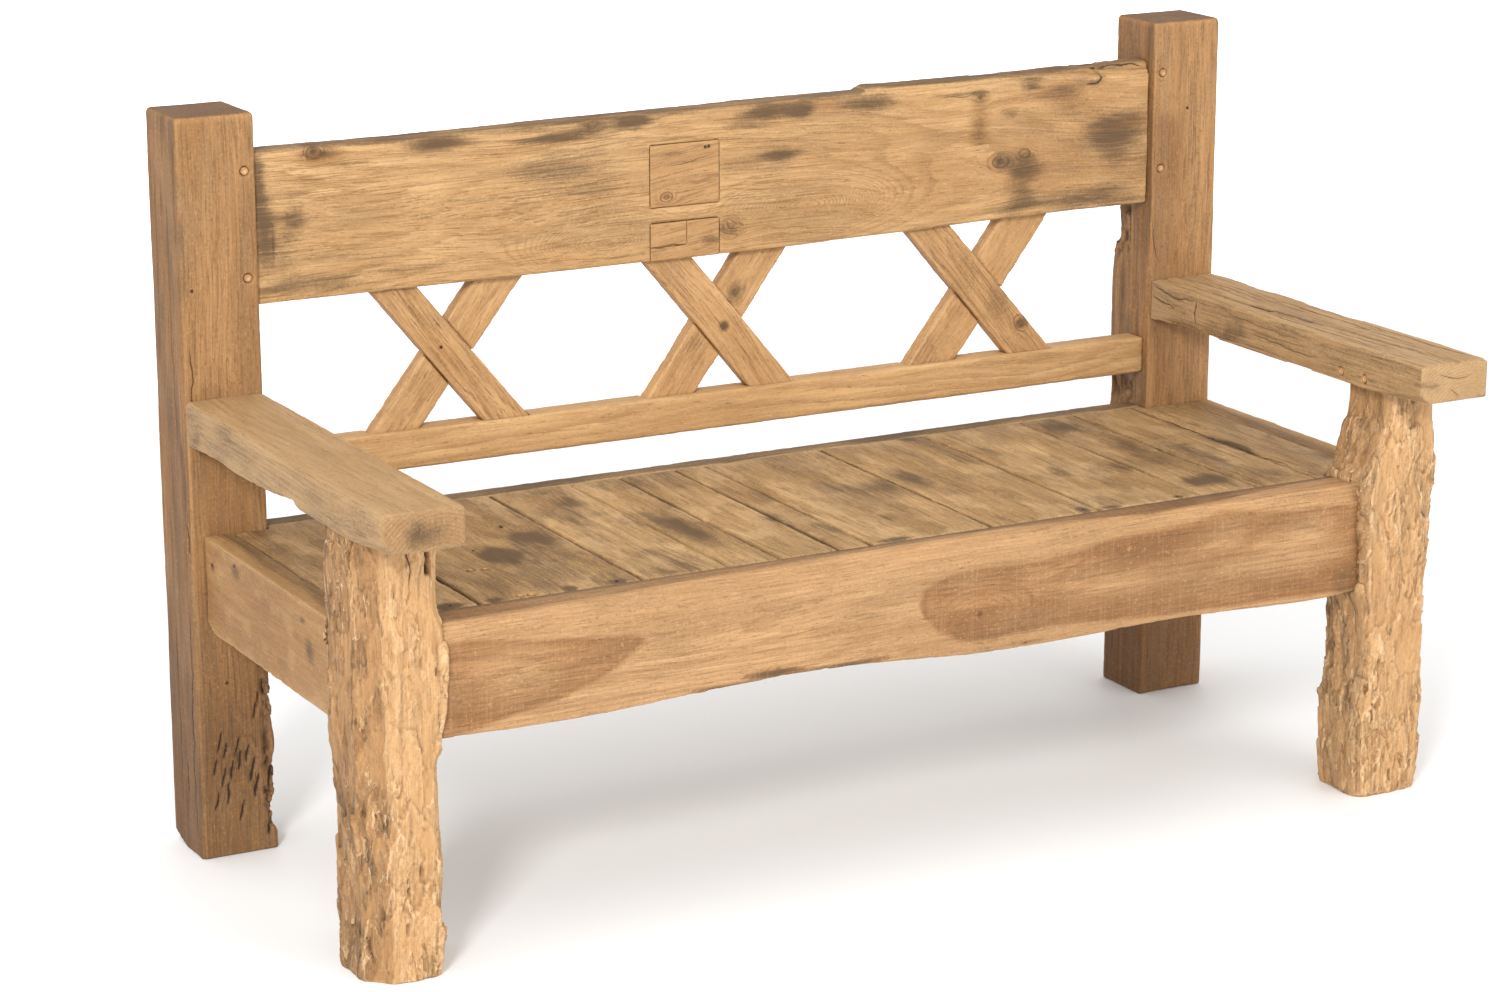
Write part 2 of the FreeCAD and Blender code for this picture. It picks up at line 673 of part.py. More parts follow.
def front_leg(side):
    """Hewn log with its housings and mortises, and a tenon up into the arm."""
    body = new_body(f"front_leg_{side}")
    stations = LEG_STATION_SHARES[side]
    step = f"{arm_underside(side)} / {len(stations) - 1}"
    sketches = [
        polygon(body, "XY", f"{number} * {step}", leg_section(side, station))
        for number, station in enumerate(stations)
    ]
    loft(body, sketches)
    tenon_x, tenon_y = leg_tenon_span(side)
    block(body, tenon_x, tenon_y, (arm_underside(side), f"{arm_underside(side)} + leg_tenon_height"))
    start = f"{tenon_x[0]} - cut_overrun"
    pegs = circles(body, "YZ", start, arm_peg_places(side), "peg_radius + fit_gap / 2")
    cut(body, pegs, "leg_tenon_width + 2 * cut_overrun", "YZ")
    flat = outwards(side, leg_inner(side), "leg_housing_depth")
    housing = ordered(side, inwards(side, leg_inner(side), "cut_overrun"), flat)
    hollow(body, housing, widened((APRON_FRONT, APRON_BACK), "fit_gap"),
           (f"{APRON_UNDERSIDE} + {APRON_LOWEST_SHARE} * apron_height - fit_gap", "seat_height + fit_gap"))
    hollow(body, tenon_across(side, flat, "apron_tenon_length + mortise_end_gap"),
           widened(APRON_DEEP, "fit_gap"), widened(APRON_TALL, "fit_gap"))
    flat_back = f"({leg_back(side)} - leg_housing_depth)"
    rail_across = ordered(side, side_rail_inner(side), side_rail_outer(side))
    hollow(body, widened(rail_across, "fit_gap"), (flat_back, f"{flat_back} + cut_overrun"),
           ("seat_height - side_rail_height - fit_gap", "seat_height + fit_gap"))
    hollow(body, widened(about(side_rail_middle(side), "tenon_thickness"), "fit_gap"),
           (f"{flat_back} - side_tenon_length - mortise_end_gap", flat_back), widened(SIDE_TALL, "fit_gap"))
    return body


def arm(side):
    """Arm plank with a waning underside, a tenon into the post and a mortise for the leg."""
    body = new_body(f"arm_{side}")
    length = f"({POST_FRONT} - {BENCH_FRONT})"
    under = [
        (f"{POST_FRONT} - {along} * {length}", f"{arm_underside(side)} + {up} * arm_thickness_{side}")
        for along, up in ARM_UNDER_SHARES[side]
    ]
    corners = under + [(BENCH_FRONT, arm_top(side)), (POST_FRONT, arm_top(side))]
    across = ordered(side, arm_inner(side), post_outer(side))
    pad(body, polygon(body, "YZ", across[0], corners), f"arm_width_{side}", "YZ")
    top = worked_out(f"{arm_top(side)} - fit_gap")
    front = worked_out(f"{BENCH_FRONT} + fit_gap")
    ease(body, "arm_arris_width", lambda edge: edge.CenterOfMass.z > top
         and (runs_along(edge, 1) or edge.CenterOfMass.y < front))
    wane_arm_corner(body, side, across[0])
    middle_up = f"({arm_underside(side)} + arm_thickness_{side} / 2)"
    block(body, about(arm_middle(side), "arm_tenon_width"), (POST_FRONT, f"{POST_FRONT} + arm_tenon_length"),
          about(middle_up, "arm_tenon_height"))
    tenon_x, tenon_y = leg_tenon_span(side)
    hollow(body, widened(tenon_x, "fit_gap"), widened(tenon_y, "fit_gap"),
           (arm_underside(side), f"{arm_underside(side)} + leg_tenon_height + mortise_end_gap"))
    start = arm_inner("right") if side == "right" else f"({arm_inner('left')} - arm_peg_length)"
    pegs = circles(body, "YZ", start, arm_peg_places(side), "peg_radius + fit_gap / 2")
    cut(body, pegs, "arm_peg_length", "YZ")
    return body


def wane_arm_corner(body, side, left):
    """Wane on an arm's lower left edge, widest at the front end and dying out behind it."""
    tip = f"({arm_underside(side)} + {ARM_UNDER_SHARES[side][-1][1]} * arm_thickness_{side})"
    sketches = []
    for place, share in ((BENCH_FRONT, 1), (f"{BENCH_FRONT} + arm_wane_length", WANE_TIP_SHARE)):
        far = f"{share} * arm_wane_run"
        high = f"{tip} + {share} * arm_wane_rise"
        corners = (
            (f"{left} - cut_overrun", f"{tip} - cut_overrun"), (f"{left} + {far}", f"{tip} - cut_overrun"),
            (f"{left} + {far}", tip), (left, high), (f"{left} - cut_overrun", high),
        )
        sketches.append(polygon(body, "XZ", place, corners))
    feature = body.newObject("PartDesign::SubtractiveLoft", body.Name + "_wane")
    feature.Profile = sketches[0]
    feature.Sections = sketches[1:]
    cuts.append(feature)


def front_seat_rail():
    """Slab lofted along its natural edge, let into both legs and tenoned there."""
    body = new_body("seat_front_rail")
    left = outwards("left", leg_inner("left"), "leg_housing_depth")
    right = outwards("right", leg_inner("right"), "leg_housing_depth")
    sketches = []
    for number, (rise, drop, run) in enumerate(APRON_STATION_SHARES):
        along = f"{left} + {number} / {len(APRON_STATION_SHARES) - 1} * ({right} - {left})"
        low = f"({APRON_UNDERSIDE} + {rise} * apron_height)"
        corners = (
            (APRON_BACK, low), (APRON_FRONT, low), (APRON_FRONT, f"seat_height - {drop} * apron_height"),
            (f"{APRON_FRONT} + {run} * apron_thickness", "seat_height"), (APRON_BACK, "seat_height"),
        )
        sketches.append(polygon(body, "YZ", along, corners))
    loft(body, sketches)
    for side, face in (("left", left), ("right", right)):
        block(body, tenon_across(side, face, "apron_tenon_length"), APRON_DEEP, APRON_TALL)
    return body


def back_seat_rail():
    body = new_body("seat_back_rail")
    block(body, (post_inner("left"), post_inner("right")), (BACK_RAIL_FRONT, BACK_RAIL_BACK),
          ("seat_height - back_rail_height", "seat_height"))
    for side in SIDES:
        block(body, tenon_across(side, post_inner(side), "back_tenon_length"), BACK_DEEP, BACK_TALL)
    return body


def side_seat_rail(side):
    """Side rail, let into the leg, tenoned at both ends, its lower back corner worn off."""
    body = new_body(f"seat_side_rail_{side}")
    low = "(seat_height - side_rail_height)"
    front = f"({leg_back(side)} - leg_housing_depth)"
    corners = (
        (front, low), (f"{POST_FRONT} - side_corner_run", low), (POST_FRONT, f"{low} + side_corner_rise"),
        (POST_FRONT, "seat_height"), (front, "seat_height"),
    )
    across = ordered(side, side_rail_inner(side), side_rail_outer(side))
    pad(body, polygon(body, "YZ", across[0], corners), "side_rail_thickness", "YZ")
    tenon_x = about(side_rail_middle(side), "tenon_thickness")
    block(body, tenon_x, (POST_FRONT, f"{POST_FRONT} + side_tenon_length"), SIDE_TALL)
    block(body, tenon_x, (f"{front} - side_tenon_length", front), SIDE_TALL)
    return body


def seat_board(number):
    """Board from front to back; the outer ones are notched round a leg and a post."""
    body = new_body(f"seat_board_{number:02d}")
    start = side_rail_inner("left")
    span = f"({side_rail_inner('right')} - {start})"
    left = f"({start} + {SEAM_SHARES[number - 1]} * {span} + board_gap / 2)"
    right = f"({start} + {SEAM_SHARES[number]} * {span} - board_gap / 2)"
    corners = list(rectangle(left, right, APRON_BACK, BACK_RAIL_FRONT))
    if number == 1:
        edge = f"({leg_inner('left')} + board_leg_gap)"
        step = f"({leg_back('left')} + board_leg_gap)"
        post_edge = f"({post_inner('left')} + board_post_gap)"
        post_step = f"({POST_FRONT} - board_post_gap)"
        corners = [
            (edge, APRON_BACK), corners[1], corners[2], (post_edge, BACK_RAIL_FRONT), (post_edge, post_step),
            (left, post_step), (left, step), (edge, step),
        ]
    if number == len(SEAM_SHARES) - 1:
        edge = f"({leg_inner('right')} - board_leg_gap)"
        step = f"({leg_back('right')} + board_leg_gap)"
        post_edge = f"({post_inner('right')} - board_post_gap)"
        post_step = f"({POST_FRONT} - board_post_gap)"
        corners = [
            corners[0], (edge, APRON_BACK), (edge, step), (right, step), (right, post_step),
            (post_edge, post_step), (post_edge, BACK_RAIL_FRONT), corners[3],
        ]
    pad(body, polygon(body, "XY", BOARD_UNDERSIDE, corners), "board_thickness", "XY")
    return body


def plug_places():
    """Centres of the plugs, seen from above."""
    start = side_rail_inner("left")
    span = f"({side_rail_inner('right')} - {start})"
    width = f"({SEAM_SHARES[2] - SEAM_SHARES[1]} * {span})"
    left = f"({start} + {SEAM_SHARES[1]} * {span})"
    return [
        (f"{left} + {across} * {width}", f"{APRON_BACK} + {along} * ({BACK_RAIL_FRONT} - {APRON_BACK})")
        for across, along in PLUG_SHARES
    ]


def ledgers():
    """Strips on the front and rear seat rails that the boards rest on."""
    tall = (f"{BOARD_UNDERSIDE} - ledger_height", BOARD_UNDERSIDE)
    front = new_body("seat_ledger_front")
    block(front, (f"{leg_inner('left')} + ledger_end_gap", f"{leg_inner('right')} - ledger_end_gap"),
          (APRON_BACK, f"{APRON_BACK} + ledger_width"), tall)
    back = new_body("seat_ledger_back")
    block(back, (f"{post_inner('left')} + ledger_post_gap", f"{post_inner('right')} - ledger_post_gap"),
          (f"{BACK_RAIL_FRONT} - ledger_width", BACK_RAIL_FRONT), tall)


def pin_group(label, pins):
    """Join loose cylinders into one sub-part; each has its place, axis, radius and length."""
    group = doc.addObject("Part::Compound", label)
    group.Label = label
    members = []
    for place, turn, radius, length in pins:
        member = doc.addObject("Part::Cylinder", label + "_pin")
        member.setExpression("Radius", bound(radius))
        member.setExpression("Height", bound(length))
        member.Placement.Rotation = turn
        for axis, formula in zip("xyz", place):
            member.setExpression("Placement.Base." + axis, bound(formula))
        members.append(member)
    group.Links = members
    sub_parts.append(group)


def pegs_and_plugs():
    backwards = FreeCAD.Rotation(FreeCAD.Vector(1, 0, 0), -90)
    sideways = FreeCAD.Rotation(FreeCAD.Vector(0, 1, 0), 90)
    upright = FreeCAD.Rotation()
    rail_pegs = []
    arm_pegs = []
    for side in SIDES:
        for across, up in rail_peg_places(side):
            place = (across, f"{POST_FRONT} - peg_proud", up)
            rail_pegs.append((place, backwards, "peg_radius", "peg_length"))
        for deep, up in arm_peg_places(side):
            inner = f"{arm_inner('left')} + peg_proud - arm_peg_length"
            start = inner if side == "left" else f"{arm_inner('right')} - peg_proud"
            arm_pegs.append(((start, deep, up), sideways, "peg_radius", "arm_peg_length"))
    pin_group("rail_pegs", rail_pegs)
    pin_group("arm_pegs", arm_pegs)
    low = "seat_height + plug_proud - plug_length"
    plugs = [((across, deep, low), upright, "plug_radius", "plug_length") for across, deep in plug_places()]
    pin_group("seat_plugs", plugs)


for side_name in SIDES:
    post = back_post(side_name)
    if side_name == "left":
        wear_left_foot(post)
    else:
        wear_right_edge(post)
    front_leg(side_name)
    arm(side_name)
    side_seat_rail(side_name)
top_rail()
rail_patches()
lower_rail()
for cross_name in CROSSES:
    brace(cross_name, "falling")
    brace(cross_name, "rising")
front_seat_rail()
back_seat_rail()
ledgers()
for board_number in range(1, len(SEAM_SHARES)):
    board = seat_board(board_number)
    if board_number == 2:
        plug_floor = "seat_height + plug_proud - plug_length"
        plug_holes = circles(board, "XY", plug_floor, plug_places(), "plug_radius + fit_gap / 2")
        cut(board, plug_holes, "plug_length", "XY")
pegs_and_plugs()
doc.recompute()

for item in doc.Objects:
    if "Invalid" in item.State or "Error" in item.State:
        raise RuntimeError(f"{item.Label} did not build: {item.State}")
for feature in cuts:
    if feature.BaseFeature.Shape.Volume - feature.Shape.Volume <= 0:
        raise RuntimeError(f"{feature.Label} takes nothing away")
for item in sub_parts:
    if item.Shape.isNull() or not item.Shape.isValid():
        raise RuntimeError(f"{item.Label} has no sound shape")

os.makedirs("parts", exist_ok=True)
for item in sub_parts:
    item.Shape.exportStep(f"parts/{item.Label}.step")
    print(item.Label, len(item.Shape.Solids), round(item.Shape.Volume))
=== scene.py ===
import math
from functools import partial

import bmesh
import bpy
import mathutils
import numpy as np
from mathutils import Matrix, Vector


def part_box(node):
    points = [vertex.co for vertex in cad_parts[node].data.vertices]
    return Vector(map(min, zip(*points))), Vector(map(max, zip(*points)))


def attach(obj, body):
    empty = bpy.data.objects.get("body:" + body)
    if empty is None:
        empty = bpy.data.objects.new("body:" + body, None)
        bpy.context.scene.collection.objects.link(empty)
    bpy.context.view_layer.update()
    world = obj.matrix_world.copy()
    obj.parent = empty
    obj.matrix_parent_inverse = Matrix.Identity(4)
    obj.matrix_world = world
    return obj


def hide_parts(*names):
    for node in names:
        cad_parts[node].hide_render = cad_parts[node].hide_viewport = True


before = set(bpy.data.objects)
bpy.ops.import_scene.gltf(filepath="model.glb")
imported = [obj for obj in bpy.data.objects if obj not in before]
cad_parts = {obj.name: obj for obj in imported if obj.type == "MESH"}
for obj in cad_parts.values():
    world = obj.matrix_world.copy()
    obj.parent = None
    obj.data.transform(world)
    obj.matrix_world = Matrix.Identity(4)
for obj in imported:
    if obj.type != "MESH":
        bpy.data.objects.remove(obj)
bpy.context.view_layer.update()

# Looks of a rustic log bench: reclaimed timber, rough log legs, crossed back and boarded seat.
# Metres. X runs along the bench, -Y is the front, Z is up.

LENGTHWISE, CROSSWISE, UPRIGHT = (1, 0, 0), (0, 1, 0), (0, 0, 1)
FRONT, TOP, END = (0, 2), (0, 1), (1, 2)
FACING = {FRONT: (0, -1, 0), TOP: (0, 0, 1), END: (-1, 0, 0)}
FAR = 9.0


# ---- noise, as shares from 0 to 1 at points of a mesh

def scrambled(cells, seed):
    """Steady random share for each cell of a grid."""
    mixed = cells[:, 0] * 73856093 ^ cells[:, 1] * 19349663 ^ cells[:, 2] * 83492791 ^ seed * 2654435761
    mixed = ((mixed ^ (mixed >> 13)) * 1274126177) & 0xFFFFFFFF
    return ((mixed ^ (mixed >> 16)) & 0xFFFFFF) / 0xFFFFFF


def cloud(points, size, seed):
    """Smooth noise with cells of the given size, or of the given size along each axis."""
    places = points / np.array(size)
    base = np.floor(places).astype(np.int64)
    ease = places - base
    ease = ease * ease * (3 - 2 * ease)
    total = np.zeros(len(points))
    for corner in np.ndindex(2, 2, 2):
        weight = np.prod(np.where(np.array(corner) == 1, ease, 1 - ease), axis=1)
        total += weight * scrambled(base + np.array(corner), seed)
    return total


def layered(points, size, seed, layers=3):
    """Noise with finer and fainter layers on top."""
    total, strength, sizes = np.zeros(len(points)), 0.5, np.array(size, float)
    for layer in range(layers):
        total += strength * cloud(points, sizes, seed + layer)
        sizes, strength = sizes / 2.03, strength / 2
    return total / (1 - 0.5 ** layers)


def flakes(points, size, seed):
    """Share of the nearest flake, how near its rim is, and how far a point lies below its middle."""
    places = points / np.array(size)
    base = np.floor(places).astype(np.int64)
    nearest, second = np.full(len(points), FAR), np.full(len(points), FAR)
    share, drop = np.zeros(len(points)), np.zeros(len(points))
    for step in np.ndindex(3, 3, 3):
        cell = base + np.array(step) - 1
        jitter = np.stack([scrambled(cell, seed + axis) for axis in range(3)], axis=1)
        offset = cell + jitter - places
        away = np.sqrt((offset ** 2).sum(axis=1))
        closer = away < nearest
        second = np.where(closer, nearest, np.minimum(second, away))
        share = np.where(closer, scrambled(cell, seed + 7), share)
        drop = np.where(closer, -offset[:, 2], drop)
        nearest = np.where(closer, away, nearest)
    return share, second - nearest, drop


def risen(values, low, high):
    """0 below low, 1 above high, eased between."""
    share = np.clip((values - low) / (high - low), 0, 1)
    return share * share * (3 - 2 * share)


def patches(points, size, seed, low, high, layers=3):
    """Soft-edged patches, from layered noise between two of its values."""
    return risen(layered(points, size, seed, layers), low, high)


# ---- fine copies of the solids

def added(name, data):
    """Object with the given mesh, light or camera, put in the scene."""
    thing = bpy.data.objects.new(name, data)
    bpy.context.scene.collection.objects.link(thing)
    return thing


class Timber:
    """Fine copy of one or more solids, with its points, normals and neighbours as arrays."""

    def __init__(self, name, node, voxel):
        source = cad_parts[node].data
        work = bmesh.new()
        work.from_mesh(source)
        bmesh.ops.remove_doubles(work, verts=work.verts, dist=1e-6)
        mesh = bpy.data.meshes.new(name)
        work.to_mesh(mesh)
        work.free()
        rough = added(name, mesh)
        grid = rough.modifiers.new("even_mesh", "REMESH")
        grid.mode = "VOXEL"
        grid.voxel_size = voxel
        evened = rough.evaluated_get(bpy.context.evaluated_depsgraph_get())
        self.mesh = bpy.data.meshes.new_from_object(evened)
        bpy.data.objects.remove(rough)
        self.name, self.node = name, node
        self.points = self.read("vertices", "co")
        edges = np.zeros(len(self.mesh.edges) * 2, np.int32)
        self.mesh.edges.foreach_get("vertices", edges)
        self.ends = edges.reshape(-1, 2)
        self.count = np.bincount(self.ends.ravel(), minlength=len(self.points))[:, None]
        solid_low, solid_high = boxed(node)
        self.low = np.maximum(self.points.min(axis=0), solid_low)
        self.high = np.minimum(self.points.max(axis=0), solid_high)
        self.marks = {}

    def read(self, group, field):
        values = np.zeros(len(getattr(self.mesh, group)) * 3, np.float32)
        getattr(self.mesh, group).foreach_get(field, values)
        return values.reshape(-1, 3).astype(float)

    def normals(self):
        self.mesh.vertices.foreach_set("co", self.points.astype(np.float32).ravel())
        self.mesh.update()
        return self.read("vertices", "normal")

    def relaxed(self, values, rounds):
        """Average of each value with its neighbours, over several rounds."""
        for _ in range(rounds):
            total = np.zeros_like(values)
            for axis in range(values.shape[1]):
                ends = values[self.ends[:, ::-1], axis].ravel()
                total[:, axis] = np.bincount(self.ends.ravel(), ends, minlength=len(values))
            values = 0.5 * values + 0.5 * total / self.count
        return values

    def wear(self, seed, rounds=3, least=0.3, bite=0.0015, spared=None):
        """Round the edges unevenly and knock small chips out of them, but not where they are let in."""
        soft = self.relaxed(self.points, rounds)
        normals = self.normals()
        edge = np.clip(((self.points - soft) * normals).sum(axis=1) * 1300, 0, 1)
        rub = least + (1 - least) * patches(self.points, 0.05, seed, 0.35, 0.7)
        chips = patches(self.points, 0.016, seed + 5, 0.56, 0.72, 2) * edge
        if spared:
            kept = spared(self.points)
            rub, chips, edge = (np.where(kept, 0.0, values) for values in (rub, chips, edge))
        self.points += (soft - self.points) * rub[:, None] - normals * (chips * bite)[:, None]
        self.edge = np.clip(self.relaxed(edge[:, None], 1)[:, 0], 0, 1)
        self.marks["worn"] = self.edge

    def shade(self, strength):
        """Painted shade in dips and painted highlight on what stands out, in the hollow and worn marks."""
        normals, soft = self.normals(), self.relaxed(self.points, 3)
        wide = self.relaxed(soft, 12)
        # Painted shade: what lies in a dip, at a fine and a wide scale, goes into the hollow mark. Painted
        # highlight: what stands out goes into the worn mark, over half of the edge wear.
        proud = self.relaxed((((self.points - soft) * normals).sum(axis=1))[:, None], 1)[:, 0] * strength
        sunk = np.clip(-((soft - wide) * normals).sum(axis=1) * strength * 0.3, 0, 0.4)
        self.marks["hollow"] = np.clip(self.marks.get("hollow", 0) + np.clip(-proud, 0, 0.75) + sunk, 0, 1)
        self.marks["worn"] = np.clip(self.marks.get("worn", 0) * 0.5 + np.clip(proud, 0, 0.9), 0, 1)

    def push(self, depths):
        """Move the surface outwards by a depth in metres at each point."""
        self.points += self.normals() * depths[:, None]

    def finish(self, material, slot):
        """Write the marks, keep the shape in its solid's box and make the piece ride on the bench."""
        self.points = np.clip(self.points, self.low, self.high)
        self.normals()
        for mark in ("stain", "worn", "hollow", "heart_and_shade", "ring", "knot", "calm", "split", "gape"):
            layer = self.mesh.attributes.new(mark, "FLOAT", "POINT")
            values = self.marks.get(mark, np.zeros(len(self.points)))
            layer.data.foreach_set("value", values.astype(np.float32))
        fibre = self.mesh.attributes.new("fibre", "FLOAT_VECTOR", "POINT")
        fibre.data.foreach_set("vector", self.marks["fibre"].astype(np.float32).ravel())
        self.mesh.polygons.foreach_set("use_smooth", np.ones(len(self.mesh.polygons), bool))
        self.mesh.materials.clear()
        self.mesh.materials.append(material)
        piece = added(self.name, self.mesh)
        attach(piece, "root")
        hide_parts(self.node)
        return piece


# ---- finishes

class Nodes:
    """Short way to add and link the nodes of one material."""

    def __init__(self, name):
        self.material = bpy.data.materials.new(name)
        self.material.use_nodes = True
        self.tree = self.material.node_tree
        self.shader = next(node for node in self.tree.nodes if node.type == "BSDF_PRINCIPLED")

    def put(self, kind, settings=None, **sockets):
        node = self.tree.nodes.new("ShaderNode" + kind)
        for key, value in (settings or {}).items():
            setattr(node, key, value)
        for key, value in sockets.items():
            self.join(value, node.inputs[int(key[1:]) if key[1:].isdigit() else key])
        return node

    def join(self, value, socket):
        if isinstance(value, bpy.types.NodeSocket):
            self.tree.links.new(value, socket)
        else:
            socket.default_value = value

    def mark(self, name, vector=False):
        node = self.put("Attribute", {"attribute_name": name})
        return node.outputs["Vector" if vector else "Fac"]

    def maths(self, operation, first, second=0.0, third=0.0, clamp=False):
        settings = {"operation": operation, "use_clamp": clamp}
        return self.put("Math", settings, _0=first, _1=second, _2=third).outputs[0]

    def times(self, first, second):
        return self.maths("MULTIPLY", first, second)

    def plus(self, value, factor, base, clamp=False):
        """A base with a value times a factor on top."""
        return self.maths("MULTIPLY_ADD", value, factor, base, clamp)

    def swung(self, value, reach, base):
        """A base moved up and down by how far a value lies from one half."""
        return self.plus(self.maths("SUBTRACT", value, 0.5), reach, base)

    def vector(self, operation, *values):
        sockets = {f"_{number}": value for number, value in enumerate(values)}
        return self.put("VectorMath", {"operation": operation}, **sockets).outputs[0]

    def noise(self, vector, stretch, detail=4.0, rough=0.6, output="Fac"):
        scaled = self.vector("MULTIPLY", vector, stretch)
        settings = {"Vector": scaled, "Scale": 1.0, "Detail": detail, "Roughness": rough}
        return self.put("TexNoise", **settings).outputs[output]

    def cells(self, vector, stretch):
        """One steady shade for each of many small cells."""
        scaled = self.vector("MULTIPLY", vector, stretch)
        return self.put("TexVoronoi", Vector=scaled, Scale=1.0).outputs["Color"]

    def ranged(self, value, low, high, least=0.0, most=1.0):
        settings = {"interpolation_type": "SMOOTHSTEP"}
        return self.put("MapRange", settings, _0=value, _1=low, _2=high, _3=least, _4=most).outputs[0]

    def mixed(self, share, first, second, blend="MIX"):
        node = self.put("Mix", {"data_type": "RGBA", "blend_type": blend}, _0=share, _6=first, _7=second)
        return node.outputs[2]


def tint(red, green, blue):
    """Linear colour from the 0 to 255 values of a paint chart."""
    shares = [((value / 255 + 0.055) / 1.055) ** 2.4 if value > 10 else value / 3294
              for value in (red, green, blue)]
    return (*shares, 1.0)


# Tint of heartwood and of painted shade on shaded sides, then grey weathering, soaked stains and dark
# flecks.
HEART_AND_SHADE_TINT, GREYED, SOAKED, FLECKED = tint(192, 166, 138), tint(132, 110, 82), tint(84, 64, 44), tint(96, 64, 38)
# Dirt in pits and painted shade in dips and corners, then painted shade inside open cracks.
GRIME_AND_SHADE, CRACK_DARK = tint(62, 42, 26), tint(48, 33, 22)


